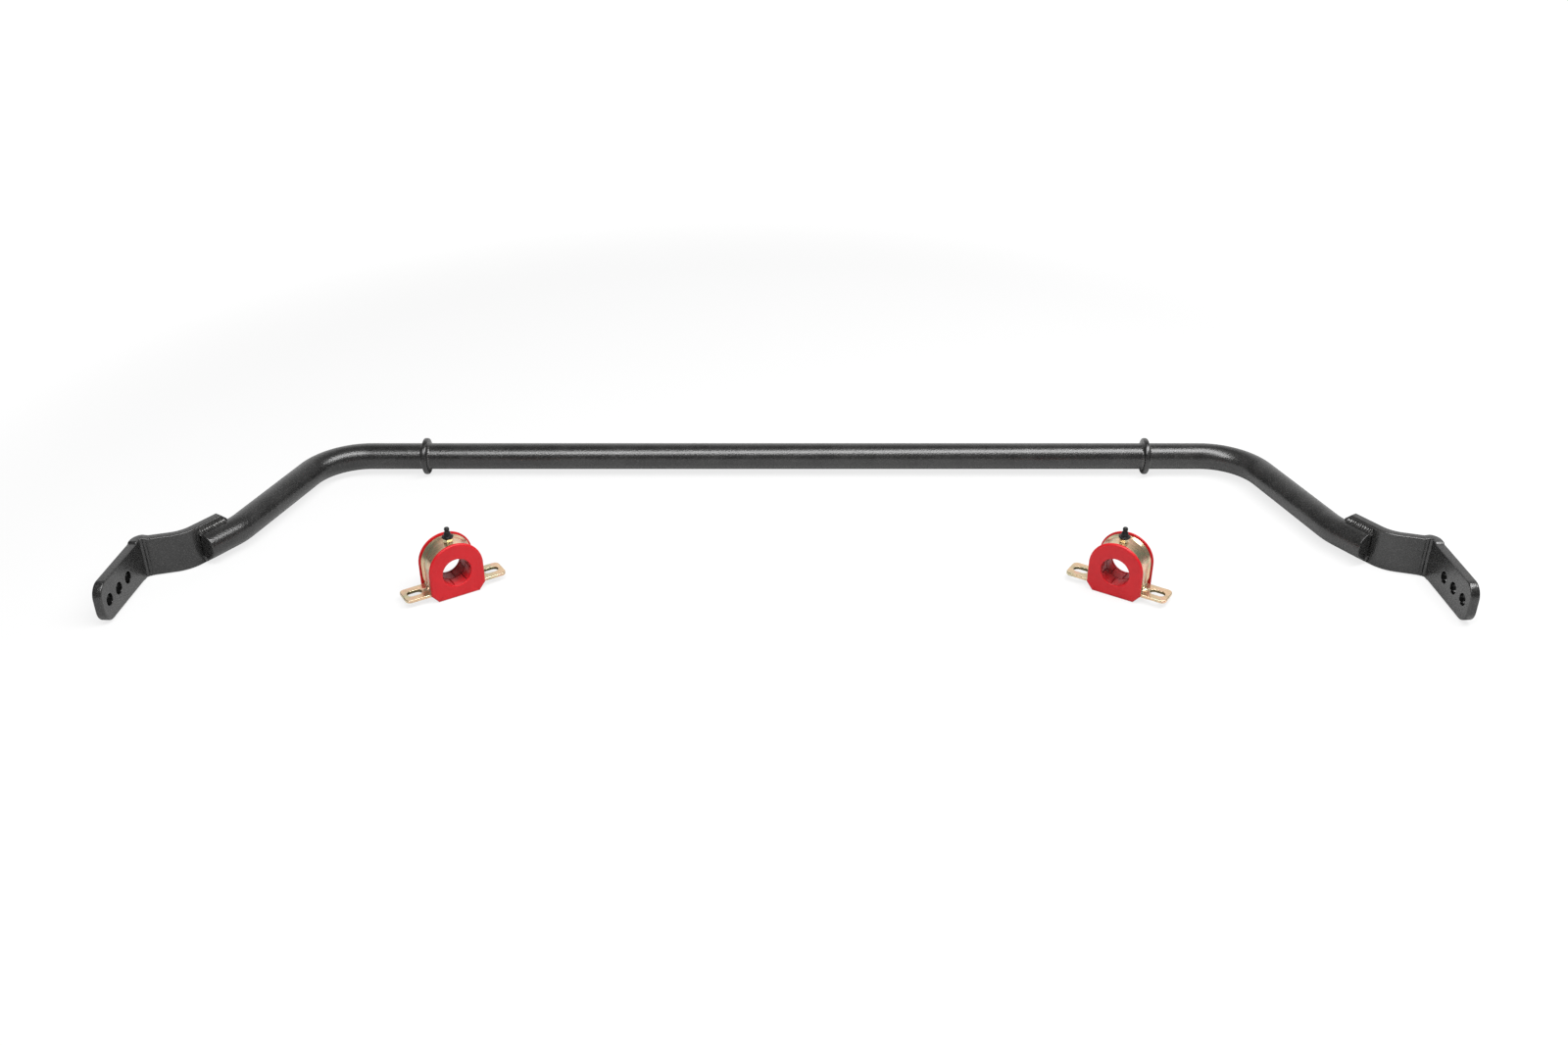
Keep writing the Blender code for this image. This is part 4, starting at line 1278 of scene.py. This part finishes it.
        near: list[tuple[Array, float, float]] = []
        for step in turn[:0:-1]:
            reach = self.bore + lip * (1 - np.sin(step))
            near.append((centre + reach * facing, -end + lip * (1 - np.cos(step)), np.sin(2 * step)))
        near += [(mouth + (rim - mouth) * share, -end, 0.0) for share in np.linspace(0.0, 1.0, 15)]
        for step in turn[1:]:
            inset = fillet * (1 - np.sin(step))
            near.append((outer - inset * normal, -end + fillet * (1 - np.cos(step)), np.sin(2 * step)))
        near.append((outer, -groove - 0.0003, 0.0))
        near.append((outer + (inner - outer) * 0.02, -groove - 0.0001, 0.5))
        near += [(outer + (inner - outer) * share, -groove, 0.0) for share in (0.3, 0.65, 0.97, 1.0)]
        near += [(inner, depth, 0.0) for depth in np.linspace(-groove, -well, 8)[1:]]

        rows = near + [(inner, depth, 0.0) for depth in np.linspace(0.0001 - well, well - 0.0001, 21)]
        rows += [(points, -depth, mask) for points, depth, mask in reversed(near)]
        for depth in np.linspace(end - lip, -end + lip, 91)[1:-1]:
            cut = self.bore_wall(angle, depth)
            wall = centre + (self.bore + self.pocket_depth * cut)[:, None] * facing
            # painted shade: the bore wall's negative edge mask darkens it, more along the pockets' grooves
            rows.append((wall, depth, -0.14 - 0.56 * cut))
        rows.append(near[0])

        flat = np.stack([points for points, _, _ in rows])
        along = np.stack([np.full(len(outer), depth) for _, depth, _ in rows])
        mask = np.stack([np.broadcast_to(mask, len(outer)) for _, _, mask in rows])
        across, up = flat[..., 0], flat[..., 1]
        draft = Draft()
        draft.add(self.place(across, along, up), grid_of(across, up, mask), wrap=True)
        self.hang(draft, "split_bushing", Skin.POLYURETHANE, Body.MOUNTS, "bushing")

    def build_strap(self) -> None:
        """The bracket: a slotted strip carried over the bushing from tab to tab.

        Off its middle plane the strip flares towards both edges along the arch, as a power of the distance
        from its flat middle, and it carries a dart in each foot.
        """
        middle = self.groove_half + self.gap + self.strap_thickness / 2
        low = self.tab_low + self.strap_thickness / 2
        bend, corner, half = self.strap_bend, self.tab_corner, self.strap_half
        quarter = np.pi / 2
        tab = self.tab_half - middle - bend
        leg = self.arc_height - low - bend
        run = Run((-self.tab_half, low), (0.0, -quarter, quarter, 0.0), (tab, leg, leg, tab),
                  (bend, middle, bend))
        holes = tuple(Hole(centre, self.slot_radius, self.slot_border, self.slot_border, self.slot_straight)
                      for centre in (self.slot_from_end, run.length - self.slot_from_end))
        borders = np.array([hole.centre + hand * self.slot_border for hole in holes for hand in (-1, 1)])
        ends = corner - corner * np.cos(np.linspace(0.0, quarter, 9))
        inner = run.stations(straight_step=0.0011, bend_step=0.0006)
        inner = clear_stations(inner, corner + 0.0004, run.length - corner - 0.0004, borders)
        stations = in_order(inner, ends, run.length - ends)
        nearest = np.minimum(stations, run.length - stations)
        shortfall = np.clip(corner - nearest, 0.0, corner)
        widths = half - corner + np.sqrt(corner**2 - shortfall**2)
        strip = FlatBar(stations, widths, self.strap_thickness, self.strap_fillet, holes, columns=44)
        foot = (run.knots[1] + run.knots[2]) / 2
        flat = 0.0068

        def place(along: Array, across: Array, depth: Array) -> Array:
            """Carries the drawn strip over the bushing, with its flared edges and its darts."""
            from_end = np.minimum(along, run.length - along)
            climb = smooth_step((from_end - run.knots[1] - 0.0010) / 0.0100)
            flare = np.clip((np.abs(across) - flat) / (half - flat), 0.0, 1.0) ** 1.2
            ridge = np.clip(1.0 - np.abs(from_end - foot) / 0.0068, 0.0, 1.0) ** 1.3
            dart = self.dart_rise * ridge * np.exp(-((across / 0.0022) ** 2))
            x, z = run.at(along, depth + self.strap_rim * climb * flare + dart)
            return self.place(x, across, z)

        self.hang(strip.draft(place), "channel_strap", Skin.ZINC, Body.BRACKET, "strap_bracket", sharp=50.0)

    def build_fitting(self) -> None:
        """The grease fitting: a turned nipple on a threaded shank, and its chamfered hexagon.

        The thread is a triangle wave of height and angle. The hexagon's radius is the smaller of a flat's and
        of the cone that bevels its corners.
        """
        shank, shank_end, bore = 0.0027, -0.0045, 0.0008
        low, high = self.hexagon
        flats, corners = self.hexagon_radii

        def thread(radius: Array, angle: Array, height: Array) -> Array:
            """Cuts the thread into the shank."""
            phase = height / self.thread_pitch - angle / (2 * np.pi)
            wave = np.abs(2 * (phase - np.floor(phase)) - 1)
            on_shank = smooth_step((-height - 0.0004) / 0.0003) * smooth_step((height + 0.0046) / 0.0004)
            return radius - self.thread_depth * wave * on_shank * (radius > 0.0026)

        def hexagon(radius: Array, angle: Array, height: Array) -> Array:
            """Shapes the wide part of the ring into the bevelled hexagon."""
            sector = np.mod(angle, np.pi / 3) - np.pi / 6
            bevel = corners + 1.4 * np.minimum(height - low, high - height)
            return np.where(radius > 0.0030, np.minimum(flats / np.cos(sector), bevel), radius)

        thread_profile = np.stack((np.full(60, shank), np.linspace(low, shank_end, 60)), axis=1)
        head = rounded([(bore, 0.0090, 0.0), (0.0015, 0.0090, 0.0002), (0.0026, 0.0072, 0.0005),
                        (0.0019, 0.0060, 0.0005), (0.0019, 0.0048, 0.0005), (0.0028, 0.0036, 0.0003),
                        (0.0028, low, 0.0)])
        foot = rounded([(shank, shank_end, 0.0), (0.0022, -0.0050, 0.0), (bore, -0.0050, 0.0),
                        (bore, self.spring_foot, 0.0), (0.0015, self.spring_foot, 0.0),
                        (0.0015, 0.0072, 0.0003), (bore, 0.0083, 0.0), (bore, 0.0090, 0.0)])
        draft = Draft()
        turned(draft, np.concatenate((head, thread_profile, foot)), self.on_crown, 72, thread)
        body = np.stack((np.full(17, 0.0046), np.linspace(low, high, 17)), axis=1)
        neck = 0.0024
        ring = np.concatenate((((neck, low),), body, ((neck, high), (neck, low))))
        turned(draft, ring, self.on_crown, 144, hexagon)
        self.hang(draft, "grease_nipple", Skin.PLATED_STEEL, Body.BRACKET, "grease_fitting", sharp=25.0)

    def build_cap(self) -> None:
        """The rubber cap: a turned brim, body, waist and knob, hollow underneath."""
        base = self.cap_foot
        top = base + self.cap_height
        profile = rounded([
            (0.0, top, 0.0), (0.0019, top, 0.0006), (0.0024, top - 0.0018, 0.0007),
            (0.0018, top - 0.0032, 0.0006), (0.0026, top - 0.0044, 0.0008), (0.0032, base + 0.0024, 0.0008),
            (0.0033, base + 0.0010, 0.0003), (0.0050, base + 0.0007, 0.0003), (0.0050, base, 0.0003),
            (0.00285, base, 0.0002), (0.00275, 0.0078, 0.0), (0.0020, 0.0093, 0.0), (0.0, 0.0096, 0.0)],
            steps=7)
        draft = Draft()
        turned(draft, profile, self.on_crown, 72)
        self.hang(draft, "rubber_cap", Skin.RUBBER, Body.CAP, "grease_cap")

    def build_ball(self) -> None:
        """The check ball: a half circle turned about the fitting's axis."""
        turn = np.linspace(0.0, np.pi, 25)
        middle = self.ball_top - self.ball
        profile = np.stack((self.ball * np.sin(turn), middle + self.ball * np.cos(turn)), axis=1)
        draft = Draft()
        turned(draft, profile, self.on_crown, 40)
        self.hang(draft, "valve_ball", Skin.STEEL, Body.BALL, "check_ball")

    def build_spring(self) -> None:
        """The valve spring: a small circle carried along a helix."""
        wire = self.spring_wire
        low = self.spring_foot + wire + 0.00015
        high = self.ball_top - 2 * self.ball - wire - 0.0001
        way = np.linspace(0.0, 1.0, 161)[:, None]
        round_wire = np.linspace(0.0, 2 * np.pi, 14, endpoint=False)[None]
        spin = 2 * np.pi * self.spring_turns * way
        reach = self.spring_radius + wire * np.cos(round_wire)
        height = low + (high - low) * way + wire * np.sin(round_wire)
        grid = self.on_crown(reach * np.cos(spin), reach * np.sin(spin), height)
        draft = Draft()
        draft.add(grid, wrap=True)
        draft.close(grid)
        piece = self.hang(draft, "valve_spring", Skin.STEEL, Body.BRACKET, "ball_spring")
        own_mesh(piece)


# ---------------------------------------------------------------- the studio


@dataclass
class Studio:
    """White floor, soft overhead light and the camera."""

    axis: tuple[float, float, float]
    back: float = 1.3367
    rise: float = 0.6804
    across: float = -0.0017
    tilt: float = 29.5
    focal: float = 34.875
    floor_half: float = 14.0
    floor_level: float = -0.0002
    floor_glow: tuple[float, float] = (0.785, 1.05)  # at the set, and all round it
    floor_reach: tuple[float, float] = (0.70, 1.30)  # distances between which the glow rises
    paper_seen: float = 0.165
    paper_reflected: float = 0.62
    sky_low: float = 0.14
    softbox_power: float = 48.0

    def build(self) -> None:
        """Makes the floor, the lights and the camera."""
        scene = bpy.context.scene
        scene.view_settings.view_transform = "Standard"
        self.build_floor()
        self.build_world()
        self.add_softbox("overhead", (0.30, -0.45, 1.40), (0.0, 0.10, 0.0), (2.6, 0.65))
        lens = bpy.data.cameras.new("camera")
        lens.lens = self.focal
        lens.sensor_width = 36.0
        lens.clip_start = 0.01
        lens.clip_end = 60.0
        camera = bpy.data.objects.new("camera", lens)
        camera.location = (self.across, self.axis[1] - self.back, self.axis[2] + self.rise)
        camera.rotation_euler = (np.radians(90.0 - self.tilt), 0.0, 0.0)
        scene.collection.objects.link(camera)
        scene.camera = camera

    def build_floor(self) -> None:
        """A wide plain floor, a hair under the part: backlit to the camera, and matt paper to the part."""
        half, level = self.floor_half, self.floor_level
        mesh = bpy.data.meshes.new("studio_floor")
        corners = [(-half, -half, level), (half, -half, level), (half, half, level), (-half, half, level)]
        mesh.from_pydata(corners, [], [(0, 1, 2, 3)])
        floor = bpy.data.objects.new("studio_floor", mesh)
        bpy.context.scene.collection.objects.link(floor)
        made = bpy.data.materials.new("studio_paper")
        made.use_nodes = True
        graph = Graph(made.node_tree)
        reach = graph.add("VectorMath", {0: graph.add("TexCoord").outputs["Object"]}, operation="LENGTH")
        glow = graph.fit(reach.outputs["Value"], *self.floor_reach, *self.floor_glow)
        seen = graph.add("LightPath").outputs["Is Camera Ray"]
        paper = graph.mix(seen, (self.paper_reflected,) * 3, (self.paper_seen,) * 3)
        shader = made.node_tree.nodes["Principled BSDF"]
        backlight = graph.math("MULTIPLY", seen, glow)
        for label, value in (("Roughness", 1.0), ("Specular IOR Level", 0.0), ("Emission Color", (1.0,) * 3),
                             ("Emission Strength", backlight), ("Base Color", paper)):
            graph.feed(shader.inputs[label], value)
        mesh.materials.append(made)

    def build_world(self) -> None:
        """A surround that the camera sees as white, and that lights the part only from low behind it."""
        world = bpy.data.worlds.new("surround")
        world.use_nodes = True
        graph = Graph(world.node_tree)
        where = graph.add("TexCoord").outputs["Generated"]
        split = graph.add("SeparateXYZ", {0: where})
        level = graph.fit(split.outputs["Y"], 0.50, 0.88, self.sky_low, 1.0)
        level = graph.math("MAXIMUM", level, graph.add("LightPath").outputs["Is Camera Ray"])
        background = world.node_tree.nodes["Background"]
        graph.feed(background.inputs["Color"], (1.0,) * 3)
        graph.feed(background.inputs["Strength"], level)
        bpy.context.scene.world = world

    def add_softbox(self, name: str, where: tuple[float, float, float], aim: tuple[float, float, float],
                    size: tuple[float, float]) -> None:
        """Adds a rectangular lamp that faces a point.

        Args:
            name: the lamp's name.
            where: its middle.
            aim: the point that it faces.
            size: its width and height.
        """
        lamp = bpy.data.lights.new(name, "AREA")
        lamp.shape = "RECTANGLE"
        lamp.size, lamp.size_y = size
        lamp.energy = self.softbox_power
        holder = bpy.data.objects.new(name, lamp)
        holder.location = where
        holder.rotation_euler = (Vector(aim) - Vector(where)).to_track_quat("-Z", "Y").to_euler()
        bpy.context.scene.collection.objects.link(holder)


def main() -> None:
    """Builds the studio, the bar and both mounts."""
    logging.basicConfig(level=logging.INFO, format="%(message)s")
    axis = tuple(frame["record"]["behaviour"]["joints"][0]["pos_m"])
    Studio(axis).build()
    SwayBar(axis).build()
    fitting = YellowZinc(name="plated_fitting", slot="plated_steel", straw=(0.66, 0.58, 0.38), lines=5200.0,
                         brushed=False, roughness=(0.18, 0.32))
    skins = {Skin.POLYURETHANE: dress(PolyurethaneSkin()), Skin.ZINC: dress(YellowZinc()),
             Skin.RUBBER: dress(MouldedRubber()), Skin.PLATED_STEEL: dress(fitting),
             Skin.STEEL: dress(BrightSteel())}
    for name, side in SIDES.items():
        low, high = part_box(f"{name}_check_ball")
        centre = ((low[0] + high[0]) / 2, (low[1] + high[1]) / 2)
        BushingMount(name, centre, -side * MOUNT_YAW, skins).build()


if __name__ == "__main__":
    main()
